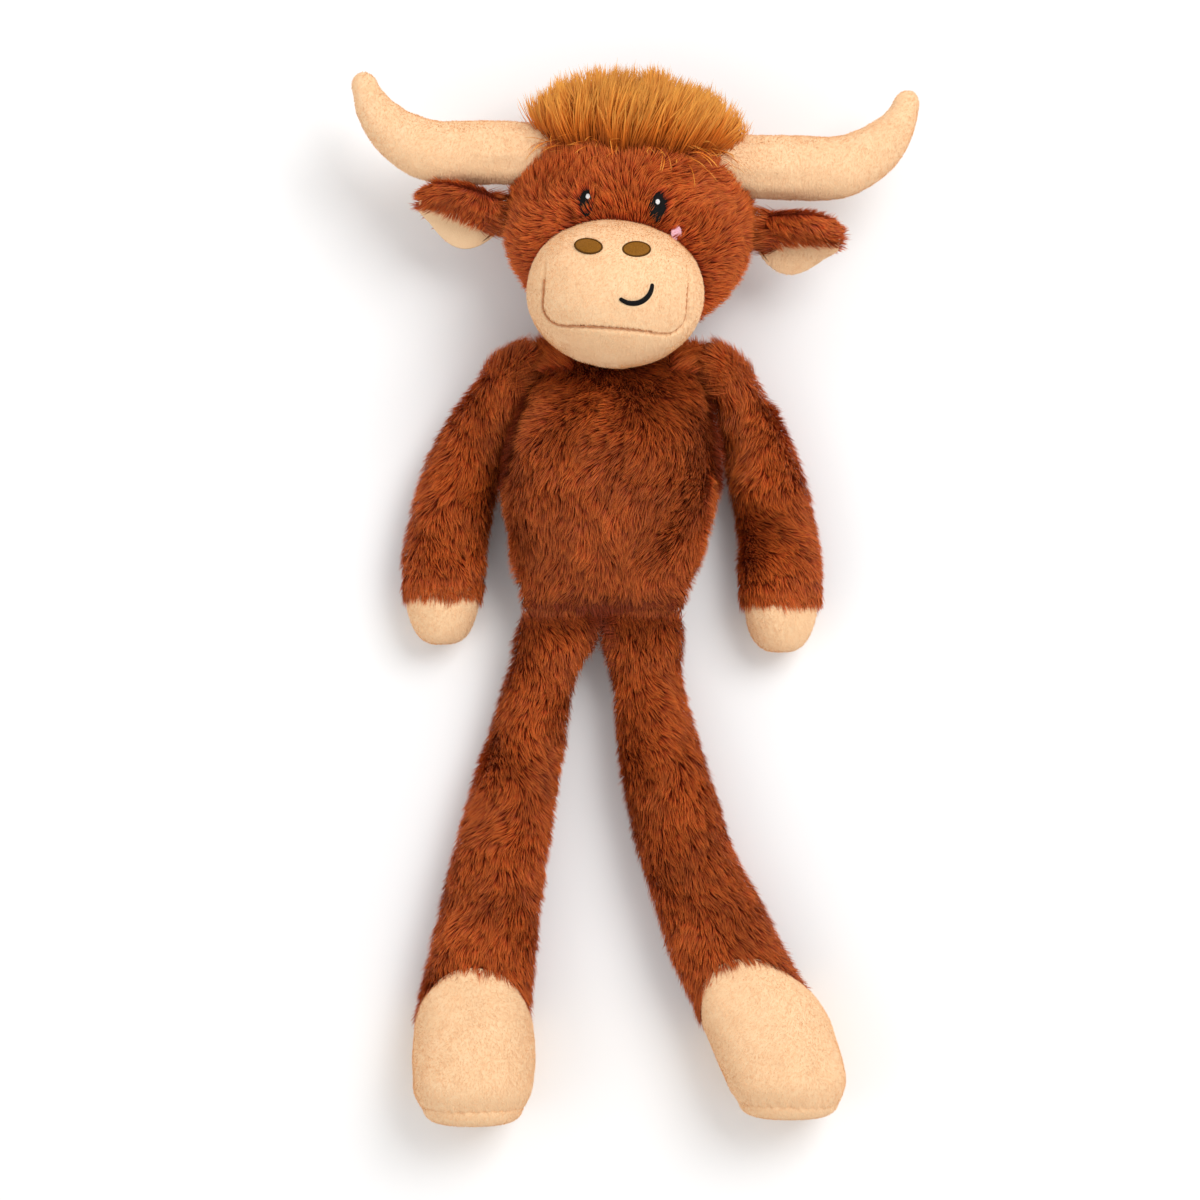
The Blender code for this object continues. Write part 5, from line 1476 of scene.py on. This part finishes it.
def make_face(sizes):
    """The embroidery and felt on each side: eye, highlight, nostril with its border, and cheek."""
    finish = looks()
    pitch = sizes.thread_pitch

    def sunk(depth):
        """The head's front, lowered by a depth."""
        return lambda x, y: head_height(x, y, -depth)

    def on_muzzle(x, y):
        """The muzzle's front, raised a little."""
        return muzzle_height(x, y, 0.0004)

    for word, side in SIDES.items():
        highlight_shift = HIGHLIGHT_SHIFTS[word]
        eye_x = FACE_SHIFT + side * EYE_SPREAD
        nostril = (FACE_SHIFT + NOSTRIL_SHIFT + side * NOSTRIL_SPREAD, NOSTRIL_RISE)
        tilt = side * NOSTRIL_TILT
        stitched_oval(
            "stitched_eye_" + word, "eye_" + word, finish["black thread"], (eye_x, EYE_RISE),
            (EYE_WIDTH, EYE_HEIGHT), sunk(EYE_DEPTH), 0.0030, 0.0010, pitch,
        )
        stitched_oval(
            "stitched_highlight_" + word, "eye_highlight_" + word, finish["white thread"],
            (eye_x + highlight_shift[0], EYE_RISE + HIGHLIGHT_RISE + highlight_shift[1]),
            (HIGHLIGHT_WIDTH * HIGHLIGHT_SHARE, HIGHLIGHT_HEIGHT * HIGHLIGHT_SHARE),
            sunk(EYE_DEPTH - 0.0009), 0.0004, 0.0005, pitch,
        )
        stitched_oval(
            "stitched_nostril_" + word, "nostril_" + word, finish["nostril thread"], nostril,
            (NOSTRIL_WIDTH, NOSTRIL_HEIGHT), on_muzzle, 0.0013, 0.0005, pitch, tilt, 1.2,
        )
        stitched_oval(
            "felt_cheek_" + word, "cheek_" + word, finish["cheek felt"],
            (FACE_SHIFT + side * CHEEK_SPREAD + CHEEK_SHIFT[0], CHEEK_RISE + CHEEK_SHIFT[1]),
            (CHEEK_WIDTH * CHEEK_SHARES[0], CHEEK_HEIGHT * CHEEK_SHARES[1]),
            sunk(CHEEK_DEPTHS[word]), 0.0022, 0.0006, CHEEK_PITCH,
        )
        make_nostril_border(word, nostril, tilt)
    make_smile(finish["black thread"], pitch)


def make_nostril_border(word, middle, tilt):
    """A closed thread round a nostril, along its oval, that swells 44 times."""
    turn = np.linspace(0, 2 * math.pi, NOSTRIL_BORDER_STEPS, endpoint=False)
    oval = np.stack([NOSTRIL_WIDTH * 0.5 * np.cos(turn), NOSTRIL_HEIGHT * 0.5 * np.sin(turn), 0 * turn], 1)
    ring = turned(oval, tilt, (*middle, 0))
    ring[:, 2] = muzzle_height(ring[:, 0], ring[:, 1], 0.0001)
    up = turned(unit((ring - MUZZLE_MIDDLE) / MUZZLE_HALF**2), HEAD_ROLL)
    thick = 0.00042 * (1 + 0.12 * np.sin(turn * 44))
    border = tube("nostril_border_" + word, from_head(ring), up, thick, looks()["nostril border"], True)
    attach(border, "head")


def make_smile(look, pitch):
    """A raised satin-stitched arc: a half-round section along a circle, with a ridge for each thread."""
    rows, columns = SMILE_GRID
    t = np.linspace(0, 1, rows)[:, None]
    turn = SMILE_FROM + (SMILE_TO - SMILE_FROM) * t
    ends = np.minimum(1.0, np.minimum(t, 1 - t) / 0.04 + 0.25) ** 0.5
    thick = SMILE_WIDTH / 2 * (0.72 + 0.28 * np.sin(math.pi * t)) * ends
    a = np.arange(columns) * 2 * math.pi / columns
    radius = SMILE_RADIUS + thick * np.cos(a)
    px = SMILE_X + FACE_SHIFT + radius * np.cos(turn)
    py = SMILE_RISE + radius * np.sin(turn)
    length = SMILE_RADIUS * (SMILE_TO - SMILE_FROM)
    ridge = 1 + 0.16 * np.abs(np.cos(math.pi * t * length / pitch * 0.8))
    pz = muzzle_height(px, py) + 0.0008 * np.sin(a) * ridge + 0.0001
    dress(capped("stitched_smile", from_head(np.stack([px, py, pz], 2)), look), "head", "smile")


def make_horns():
    """Stuffed horns: rings along a straight run and a bend, closed by a blunt round tip.

    Faint folds sin(run / 2 mm) lie inside the bend, puckers sin(9 a) round the root, and a sunk seam
    along the underside.
    """
    rows, columns = HORN_GRID
    total = HORN_RUN + HORN_BEND_RADIUS * HORN_BEND
    blunt_from = 0.93
    even = np.linspace(0, 1, rows)
    tip = blunt_from + 0.07 * np.sin((even - 0.85) / 0.15 * math.pi / 2)
    share = np.where(even < 0.85, even / 0.85 * blunt_from, tip)
    run = share * (total + 0.011) - 0.010
    blunt = np.sqrt(np.clip(1 - ((share - blunt_from) / 0.0701) ** 2, 0, 1))
    tip_radius = horn_radius(np.full(rows, blunt_from)) * np.maximum(blunt, 0.03)
    radius = np.where(share > blunt_from, tip_radius, horn_radius(np.clip(run / total, 0, 1)))
    a = np.arange(columns) * 2 * math.pi / columns
    for word, side in SIDES.items():
        centres, turns = horn_line(word, run)
        rings = oval_grid(centres, radius, radius, turns, columns)
        grid = inflated("horn_" + word, rings, voxel=FINE_CLOTH_FACE)
        inner_side = np.exp(-(((np.cos(a) + side) / 0.55) ** 2))[None, :]
        bend = eased((run - HORN_RUN + 0.004) / 0.012) * eased((total - 0.012 - run) / 0.02)
        folds = 0.00012 * (bend * np.sin(run / 0.0062 * math.pi))[:, None] * inner_side
        puckers = 0.0003 * np.exp(-((run / 0.02 - 0.8) ** 2))[:, None] * np.sin(a * 9 + side)[None, :]
        seam = -0.0006 * np.exp(-(((np.sin(a) + 0.55) / 0.05) ** 2)) * (np.cos(a) * side > 0)
        lumps = 0.0007 * noise(grid, 0.016, 41 + side) + 0.00025 * noise(grid, 0.005, 43)
        grid = from_head(grid + grid_normals(grid) * (folds + puckers + seam + lumps)[..., None])
        piece = capped("stuffed_horn_" + word, grid, looks()["peach minky"])
        nap("horn_" + word, "head", grid, 45 + side)
        dress(piece, "head", "horn_" + word)


def make_ears(sizes):
    """Leaf-shaped ears: a plush back and a minky lining that hangs a little lower, under a rolled rim.

    Wisps stand on the back, on the rim, and on the ridge that joins them. A fringe round the root
    lies over the seam.
    """
    finish = looks()
    near = SEAM_GAP / 2
    hang = 0.0016 + 0.0008 * eased((np.linspace(-1, 1, EAR_GRID[1]) + 0.3) / 0.9)
    for word, side in SIDES.items():
        body = "ear_" + word
        matrix = np.array(ear_matrix(word))
        out, down, away = matrix[:3, 0] * side, matrix[:3, 1], matrix[:3, 2]
        back = ear_grid(word, *EAR_GRID, near, near + EAR_BACK_THICKNESS * 0.30, 1.0)
        lining = ear_grid(word, *EAR_GRID, -near, -near - EAR_LINING_THICKNESS, EAR_LINING_WIDTH_SHARE)
        lining = [sheet + hang[None, :, None] * down for sheet in lining]
        backing = walled(body + "_backing", back[1], back[0], finish["brown backing"], closed=False)
        inside = walled(body + "_minky", lining[1], lining[0], finish["peach minky"], closed=False)
        dress(backing, body, "ear_back_" + word)
        dress(inside, body, "ear_lining_" + word)
        root = in_ear(word, ear_root(side))
        fringe("ear_root", "ear_root_" + word, body, root, fixed_way(*-out), 331 + side, sizes)
        lip = ear_lip(word, *EAR_LIP_GRID)
        rim = walled(body + "_rim", lip[0], lip[1], finish["brown backing"], closed=False)
        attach(rim, body)
        nap("ear_" + word, body, lining[1], 341 + side, closed=False)
        edge = back[1][: EAR_LIP_GRID[0], :1]
        ridge = edge + (lip[0][:, 2:3] - edge) * np.linspace(0, 1, 6)[None, :, None]
        for part, seed, sheet, facing, spread in (
            ("back", 311, back[1], away, 45.0),
            ("lip", 321, lip[0], -away, 0.0),
            ("ridge", 335, ridge, -down, 0.0),
        ):
            rng = np.random.default_rng(seed + side)
            normals = unit(np.cross(np.gradient(sheet, axis=1), np.gradient(sheet, axis=0)))
            normals *= np.sign((normals @ facing).sum())
            spots, ways = scattered(sheet, normals, sizes.pile_spacing * 0.9, rng, closed=False)
            low = (spots - matrix[:3, 3]) @ down
            field = np.tile(out * 0.8, (len(spots), 1))
            field += low[:, None] * down * spread + (0 * down if spread else down)
            leans = swirled(spots, ways, field, seed, 0.5, 0.4)
            length = sizes.pile_length * 0.80 * (1 - 0.75 * eased((low / (EAR_WIDTH / 2) - 0.25) / 0.4))
            wisps(
                body + "_" + part, body, finish["brown pile"], spots, ways, leans, rng, length,
                sizes.pile_width, (0.8, 1.5), seed=seed,
            )


def ear_root(side):
    """A short oval sleeve round an ear's root, in the ear's own frame."""
    rows, columns = EAR_ROOT_GRID
    reach = side * np.linspace(0.0020, 0.0105, rows)[:, None]
    turn = np.arange(columns) * 2 * math.pi / columns
    return np.stack(
        [reach + 0 * turn, 0.0085 * np.cos(turn) + 0 * reach, 0.0036 * np.sin(turn) - 0.001 + 0 * reach], 2
    )


def crown_front(x):
    """The curved front edge of the long pile: further forward in the middle, as X squared."""
    return CROWN_FRONT_RISE * (x / CROWN_FRONT_REACH) ** 2


def make_forelock(sizes):
    """Long golden pile: a core under long wisps that stand on the crown and fan out over it.

    Roots lie on a band across the crown. Each wisp leans up, and outwards with X.
    """
    rows, columns = FORELOCK_GRID
    turn = np.linspace(0.03, math.pi - 0.03, rows)
    reach = np.sin(turn) ** 0.8
    centres = np.stack([np.zeros(rows), -FORELOCK_HEIGHT / 2 * 0.72 * np.cos(turn), np.zeros(rows)], 1)
    half_width, half_depth = FORELOCK_WIDTH / 2 * 0.80 * reach, FORELOCK_DEPTH / 2 * 0.55 * reach
    grid = oval_grid(centres, half_width, half_depth, np.zeros(rows), columns)
    lean = np.array(Matrix.Rotation(FORELOCK_TILT, 3, "X"))
    middle = np.array((FORELOCK_X, FORELOCK_RISE - 0.004, FORELOCK_HEIGHT_OFF_BACK - NECK[2] - 0.005))
    core = capped("forelock_core", from_head(grid @ lean.T + middle), looks()["golden backing"])
    dress(core, "head", "forelock")
    rng = np.random.default_rng(401)
    count = int(0.091 * 0.030 / sizes.forelock_spacing**2)
    x = rng.uniform(-1, 1, count) * CROWN_HALF_WIDTH
    t = rng.random(count) ** 0.8
    front = CROWN_FRONT + crown_front(x) + 0.0012 * np.sin(x * 260)
    y = front + t * CROWN_DEPTH * np.sqrt(np.maximum(0.10, 1 - (x / 0.052) ** 2))
    inside = (x / (HEAD_WIDTH / 2)) ** 2 + ((y - HEAD_RISE) / (HEAD_HEIGHT / 2)) ** 2 < 0.97
    x, y, t = x[inside], y[inside], t[inside]
    roots = np.stack([x, y, head_height(x, y, -PILE_ROOT)], 1)
    outwards = roots - (0, HEAD_RISE, HEAD_DEPTH / 2 - NECK[2])
    normals = unit(outwards * (0.75, 0.7, 1.2) + (0, 0, 0.015))
    leans = np.stack([x * 8, np.full(len(x), 1.0), np.full(len(x), -0.30)], 1)
    waves = 0.55 * noise(roots, 0.011, 402) + 0.30 * noise(roots, 0.0045, 404)
    leans[:, 0] += waves + rng.normal(0, 0.13, len(x))
    leans = unit(across_only(leans, normals))
    length = sizes.forelock_length * (1 - 0.26 * (np.abs(x + 0.004) / 0.046) ** 2) * (1.05 - 0.28 * t)
    length = length * (1 + 0.16 * noise(roots, 0.007, 405))
    wisps(
        "forelock_pile", "head", looks()["golden pile"], from_head(roots), turned(normals, HEAD_ROLL),
        turned(leans, HEAD_ROLL), rng, length, LONG_WISP_WIDTH, (0.30, 1.52), 5, 403, 0.0034,
    )


def make_stray_wisps(sizes):
    """Loose long wisps that hang from the forelock's front edge over the brow and the horns' roots.

    More of them stand far from the middle than near it, and each hangs its own way.
    """
    rng = np.random.default_rng(431)
    count = STRAY_WISPS
    x = np.sign(rng.uniform(-1, 1, count)) * 0.046 * rng.random(count) ** 0.45
    y = CROWN_FRONT + 0.001 + crown_front(x) + rng.normal(0.001, 0.0030, count)
    roots = np.stack([x, y, head_height(x, y, 0.0006)], 1)
    normals = unit(roots - (0, HEAD_RISE, HEAD_DEPTH / 2 - NECK[2]))
    sideways, down = x * 22 + rng.normal(0, 0.55, count), rng.normal(-0.45, 0.75, count)
    leans = np.stack([sideways, down, np.zeros(count)], 1)
    leans = unit(across_only(leans, normals))
    length = sizes.forelock_length * rng.uniform(0.22, 0.62, count)
    wisps(
        "forelock_strays", "head", looks()["golden pile"], from_head(roots), turned(normals, HEAD_ROLL),
        turned(leans, HEAD_ROLL), rng, length, LONG_WISP_WIDTH, (0.75, 1.68), 5, 433, 0.0035, 0.05,
    )


def make_minky(name, body, grid, node, seed, piece_name):
    """A stuffed minky piece that rests on the floor, with its velvet."""
    grid = on_floor(grid)
    piece = capped(piece_name, grid, looks()["peach minky"])
    nap(name, body, grid, seed)
    dress(piece, body, node)


def make_arm(word, sizes):
    """An arm's backing and pile, the fringes at its shoulder and cuff, and its hoof.

    Over the last quarter the backing flares out to the cuff. A sunk seam runs down both sides of
    the hoof.
    """
    side, name = SIDES[word], "arm_" + word

    def place(roots):
        """No pile inside the torso; darker by its side, as painted shade in the crease, and shorter over the
        last 34 mm.
        """
        reach, beside = out_of_torso(roots, 0.0)[1:]
        # Painted shade in the crease beside the torso
        tone = np.where(beside, -0.34 * eased((1.22 - reach) / 0.22), 0.0)
        low = eased((grid[-1, :, 1].mean() + 0.034 - roots[:, 1]) / 0.026)
        return ~(beside & (reach < 0.99)), roots, 1 - 0.28 * low, tone

    inner = arm_grid(word, *ARM_GRID, PILE_ROOT)
    flare = eased((end_spread(ARM_GRID[0]) - 0.72) / 0.20)[:, None, None]
    grid = soft(inflated(name, inner), 51 + side, 0.0010, 0.0003)
    grid = grid + (arm_grid(word, *ARM_GRID, CUFF_ROOT) - inner) * flare
    grid = out_of_torso(grid, 0.0004)[0]
    furry(name, name, "arm_skin_" + word, grid, fixed_way(side * 0.25, -1, 0.1), 501 + side, sizes, place)
    fringe("arm", name, name, grid[4:30], fixed_way(-side, 0.8), 511 + side, sizes)
    cuff_way = fixed_way(side * 0.1, -1)
    fringe("cuff", "cuff_" + word, name, grid[-16:], cuff_way, 521 + side, sizes, tone=0.0)
    rows, columns = HOOF_GRID
    hoof = inflated("hoof_" + word, hoof_grid(word, rows, columns), CLOTH_CAP / 2, FINE_CLOTH_FACE)
    hoof = soft(hoof, 61 + side, 0.0006, 0.0002)
    turn = np.arange(columns) * 2 * math.pi / columns
    seam = -0.0007 * np.exp(-((np.sin(turn) / 0.06) ** 2))
    seam = seam[None, :] * eased(np.linspace(1, 0, rows) * 3)[:, None]
    hoof = hoof + grid_normals(hoof) * seam[..., None]
    make_minky("hoof_" + word, name, hoof, "hoof_" + word, 65 + side, "stuffed_hoof_" + word)


def make_leg(word, sizes):
    """A leg's backing and pile, its fringes at the hip, inner thigh and ankle, and its foot."""
    side, name, hip = SIDES[word], "leg_" + word, HIPS[word]

    def inward(points):
        """How far points lie to the inner side of the hip."""
        return side * (hip[0] - points[:, 0])

    def place(roots):
        """Pile above the foot's arch; darker at the top and high on the inner side, as painted shade in the
        creases at the hip and the crotch; and longer high on the inner side.
        """
        top = eased((roots[:, 1] - hip[1] + 0.016) / 0.014)
        inner = eased((inward(roots) - 0.006) / 0.010)
        high = eased((roots[:, 1] - hip[1] + 0.050) / 0.040)
        # Painted shade at the hip's crease and high on the inner side
        tone = -0.05 - 0.42 * top - 0.25 * inner * high
        return above_arch(word, roots), roots, 1 + 0.45 * inner * high, tone

    def inner_top(points):
        """Whether points lie high on the inner side and off the floor."""
        return (inward(points) > 0.010) & (points[:, 1] > hip[1] - 0.034) & (points[:, 2] > 0.012)

    def edge(points):
        """Whether points lie within 6 mm above the foot's arch."""
        return above_arch(word, points) & ~above_arch(word, points - (0, 0.006, 0))

    grid = soft(inflated(name, leg_grid(word, *LEG_GRID, PILE_ROOT)), 71 + side, 0.0012, 0.0003)
    down = fixed_way(side * 0.2, -1)
    furry(name, name, "leg_skin_" + word, grid, fixed_way(side * 0.2, -1, 0.1), 601 + side, sizes, place)
    # The hip fringe is darker and the inner one takes the darker pile, as painted shade in the creases at the
    # hip and the crotch.
    for kind, fringe_name, band, way, seed, wanted, tone, look in (
        ("leg", name, slice(14), fixed_way(0, 1), 611, None, -0.42, "brown pile"),
        ("leg_inner", name + "_inner", slice(60), fixed_way(-side, -0.5), 631, inner_top, 0.0, "shaded pile"),
        ("ankle", "ankle_" + word, slice(-60, None), down, 621, edge, -0.05, "brown pile"),
    ):
        fringe(kind, fringe_name, name, grid[band], way, seed + side, sizes, wanted, tone, look)
    make_foot(word)


def ankle_arch(turn):
    """How far the foot's minky runs up under the pile, round the ankle: most at the front."""
    return CUFF_ARCH * np.maximum(np.sin(turn), 0) ** 1.2


def above_arch(word, points):
    """Whether points of a leg lie above the arched edge where its foot begins."""
    centres, half_width, half_depth = foot_outline(word, np.zeros(1))[:3]
    wide = (points[:, 0] - centres[0, 0]) / half_width
    turn = np.arctan2((points[:, 2] - centres[0, 2]) / half_depth, wide)
    return points[:, 1] - centres[0, 1] > ankle_arch(turn) - 0.0005


def make_foot(word):
    """A foot and its sole: squared ovals from inside the arched cuff to the rim, then a dome.

    Round the ankle the foot starts higher at the front, where it runs up under the pile. Puckers
    sin(31 a) stand on both sides of the sole's seam.
    """
    side, body = SIDES[word], "leg_" + word
    rows, columns = FOOT_GRID
    share = np.linspace(0, 1, rows)
    centres, half_width, half_depth, turns = foot_outline(word, share)
    turn = np.arange(columns) * 2 * math.pi / columns
    start = 1 - 0.12 * np.exp(-((share / 0.05) ** 2))
    rim = 1 - 0.035 * (np.maximum(0, share - 0.5) / 0.5) ** 2 - 0.02 * np.exp(-(((1 - share) / 0.03) ** 2))
    wide, deep = half_width * start * rim, half_depth * start * rim
    foot = oval_grid(centres, wide, deep, turns, columns, FOOT_SQUARENESS)
    rise = (ankle_arch(turn) + 0.0045)[None, :] * (1 - share[:, None]) ** 1.6
    slope = side * (LEG_REACHES[word] - LEG_BOWS[word] * 4) / leg_drop(word)
    foot[..., 1] += rise
    foot[..., 0] -= rise * slope
    foot = soft(inflated("foot_" + word, foot), 81 + side, 0.0010, 0.0003)
    puckers = 0.00030 * np.exp(-(((1 - share) / 0.08) ** 2))[:, None] * np.sin(turn * 31)[None, :]
    foot = foot + grid_normals(foot) * puckers[..., None]
    make_minky("foot_" + word, body, foot, "foot_" + word, 85 + side, "stuffed_foot_" + word)
    t = np.linspace(0, 1, SOLE_ROWS)
    size = np.sqrt(np.clip(1 - t**2.2, 0.0004, 1)) * 0.965
    size[:5] *= (0.93, 0.96, 0.98, 0.99, 0.997)
    sole_centres = np.tile(centres[-1], (SOLE_ROWS, 1))
    sole_centres[:, 1] -= (SOLE_BULGE + SOLE_TUCK) * np.sin(t * math.pi / 2) - SOLE_TUCK
    wide, deep = half_width[-1] * size, half_depth[-1] * size
    sole = oval_grid(sole_centres, wide, deep, np.zeros(SOLE_ROWS), columns, FOOT_SQUARENESS)
    ripple = 0.0003 * np.exp(-((t / 0.2) ** 2))[:, None] * np.sin(turn * 31 + 1)[None, :]
    sole = sole + grid_normals(sole) * ripple[..., None]
    make_minky("sole_" + word, body, sole, "sole_" + word, 95 + side, "stuffed_sole_" + word)


def finish_inner_parts():
    """Gives the stuffing and the rolled seams that stay as solids their fibre and thread."""
    finish = looks()
    for name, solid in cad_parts.items():
        if "stuffing" in name:
            look = finish["filling"]
        elif name.endswith("_seam") or "_seam_" in name:
            look = finish["seam thread"]
        else:
            continue
        for place in solid.material_slots:
            place.material = look


def make_stage(colour):
    """A pale floor, a big soft lamp from the upper right, an even sky, and the camera overhead."""
    scene = bpy.context.scene
    scene.view_settings.view_transform = "Standard"
    look = mottled_look(
        "pale floor", colour, (0.9, 0.0), (30, 2), (0.0, scaled(colour, 0.995)), (1.0, colour), None
    )
    corners = np.array(((-1, -1, 0), (1, -1, 0), (1, 1, 0), (-1, 1, 0))) * FLOOR_REACH - (0, 0, FLOOR_GAP)
    floor = add_mesh("floor", corners, [[0, 1, 2, 3]], None, look)

    world = bpy.data.worlds.new("studio")
    scene.world = world
    world.use_nodes = True
    tree = world.node_tree
    sky = tree.nodes["Background"]
    sky.inputs["Color"].default_value = (1.0, 1.0, 1.0, 1)
    sky.inputs["Strength"].default_value = SKY_STRENGTH
    seen = add_node(tree, "ShaderNodeBackground", values={"Color": (1, 1, 1, 1), "Strength": 1.0})
    path = tree.nodes.new("ShaderNodeLightPath")
    mix = tree.nodes.new("ShaderNodeMixShader")
    tree.links.new(path.outputs["Is Camera Ray"], mix.inputs["Fac"])
    tree.links.new(sky.outputs[0], mix.inputs[1])
    tree.links.new(seen.outputs[0], mix.inputs[2])
    tree.links.new(mix.outputs[0], tree.nodes["World Output"].inputs["Surface"])

    for name, place, width, power in LAMPS:
        lamp = bpy.data.lights.new(name, "AREA")
        lamp.size, lamp.energy = width, power
        holder = bpy.data.objects.new(name, lamp)
        scene.collection.objects.link(holder)
        holder.matrix_world = aimed(place, LAMP_TARGET)

    camera = bpy.data.objects.new("camera", bpy.data.cameras.new("camera"))
    scene.collection.objects.link(camera)
    camera.location = (VIEW_X, VIEW_Y, VIEW_HEIGHT)
    camera.data.lens = camera.data.sensor_width * (VIEW_HEIGHT - VIEW_LEVEL) / VIEW_SPAN
    camera.data.clip_start, camera.data.clip_end = 0.05, 50
    scene.camera = camera


def aimed(place, target):
    """The matrix of a lamp at a place that points at a target."""
    away = Vector(place) - Vector(target)
    return Matrix.Translation(place) @ away.to_track_quat("Z", "Y").to_matrix().to_4x4()


# Add-on


class COW_OT_torso(bpy.types.Operator):
    """Make the plush torso"""

    bl_idname = "cow.torso"
    bl_label = "Torso"

    def execute(self, context):
        make_torso(context.scene.cow_sizes)
        return {"FINISHED"}


class COW_OT_head(bpy.types.Operator):
    """Make the plush head"""

    bl_idname = "cow.head"
    bl_label = "Head"

    def execute(self, context):
        make_head(context.scene.cow_sizes)
        return {"FINISHED"}


class COW_OT_muzzle(bpy.types.Operator):
    """Make the two minky panels of the muzzle"""

    bl_idname = "cow.muzzle"
    bl_label = "Muzzle"

    def execute(self, context):
        make_muzzle()
        return {"FINISHED"}


class COW_OT_face(bpy.types.Operator):
    """Make the stitched eyes, nostrils and smile and the felt cheeks"""

    bl_idname = "cow.face"
    bl_label = "Face stitching"

    def execute(self, context):
        make_face(context.scene.cow_sizes)
        return {"FINISHED"}


class COW_OT_horns(bpy.types.Operator):
    """Make both stuffed horns"""

    bl_idname = "cow.horns"
    bl_label = "Horns"

    def execute(self, context):
        make_horns()
        return {"FINISHED"}


class COW_OT_ears(bpy.types.Operator):
    """Make both ears with their plush backs and linings"""

    bl_idname = "cow.ears"
    bl_label = "Ears"

    def execute(self, context):
        make_ears(context.scene.cow_sizes)
        return {"FINISHED"}


class COW_OT_forelock(bpy.types.Operator):
    """Make the long golden pile on the crown"""

    bl_idname = "cow.forelock"
    bl_label = "Forelock"

    def execute(self, context):
        make_forelock(context.scene.cow_sizes)
        make_stray_wisps(context.scene.cow_sizes)
        return {"FINISHED"}


class COW_OT_arms(bpy.types.Operator):
    """Make both arms and their hooves"""

    bl_idname = "cow.arms"
    bl_label = "Arms"

    def execute(self, context):
        for word in SIDES:
            make_arm(word, context.scene.cow_sizes)
        return {"FINISHED"}


class COW_OT_legs(bpy.types.Operator):
    """Make both legs, feet and soles"""

    bl_idname = "cow.legs"
    bl_label = "Legs"

    def execute(self, context):
        for word in SIDES:
            make_leg(word, context.scene.cow_sizes)
        return {"FINISHED"}


class COW_OT_inner_parts(bpy.types.Operator):
    """Give the stuffing and the seams their finish"""

    bl_idname = "cow.inner_parts"
    bl_label = "Inner parts"

    def execute(self, context):
        finish_inner_parts()
        return {"FINISHED"}


class COW_OT_stage(bpy.types.Operator):
    """Make the floor, the lamps, the sky and the camera"""

    bl_idname = "cow.stage"
    bl_label = "Stage"

    def execute(self, context):
        make_stage(tuple(context.scene.cow_colours.floor))
        return {"FINISHED"}


OPERATORS = (
    COW_OT_torso,
    COW_OT_head,
    COW_OT_muzzle,
    COW_OT_face,
    COW_OT_horns,
    COW_OT_ears,
    COW_OT_forelock,
    COW_OT_arms,
    COW_OT_legs,
    COW_OT_inner_parts,
    COW_OT_stage,
)


class COW_PT_panel(bpy.types.Panel):
    """Lists the sizes, the colours and the pieces"""

    bl_idname = "COW_PT_panel"
    bl_label = "Plush cow"
    bl_space_type = "VIEW_3D"
    bl_region_type = "UI"
    bl_category = "Plush cow"

    def draw(self, context):
        for group in (context.scene.cow_sizes, context.scene.cow_colours):
            for name in group.__annotations__:
                self.layout.prop(group, name)
        for operator in OPERATORS:
            self.layout.operator(operator.bl_idname)


def register():
    """Registers the classes and hangs the sizes and colours on the scene."""
    for item in (CowSizes, CowColours, *OPERATORS, COW_PT_panel):
        bpy.utils.register_class(item)
    bpy.types.Scene.cow_sizes = PointerProperty(type=CowSizes)
    bpy.types.Scene.cow_colours = PointerProperty(type=CowColours)


def unregister():
    """Takes off what register put on."""
    del bpy.types.Scene.cow_colours
    del bpy.types.Scene.cow_sizes
    for item in reversed((CowSizes, CowColours, *OPERATORS, COW_PT_panel)):
        bpy.utils.unregister_class(item)


def main():
    register()
    for operator in OPERATORS:
        group, name = operator.bl_idname.split(".")
        getattr(getattr(bpy.ops, group), name)()


if __name__ == "__main__":
    main()
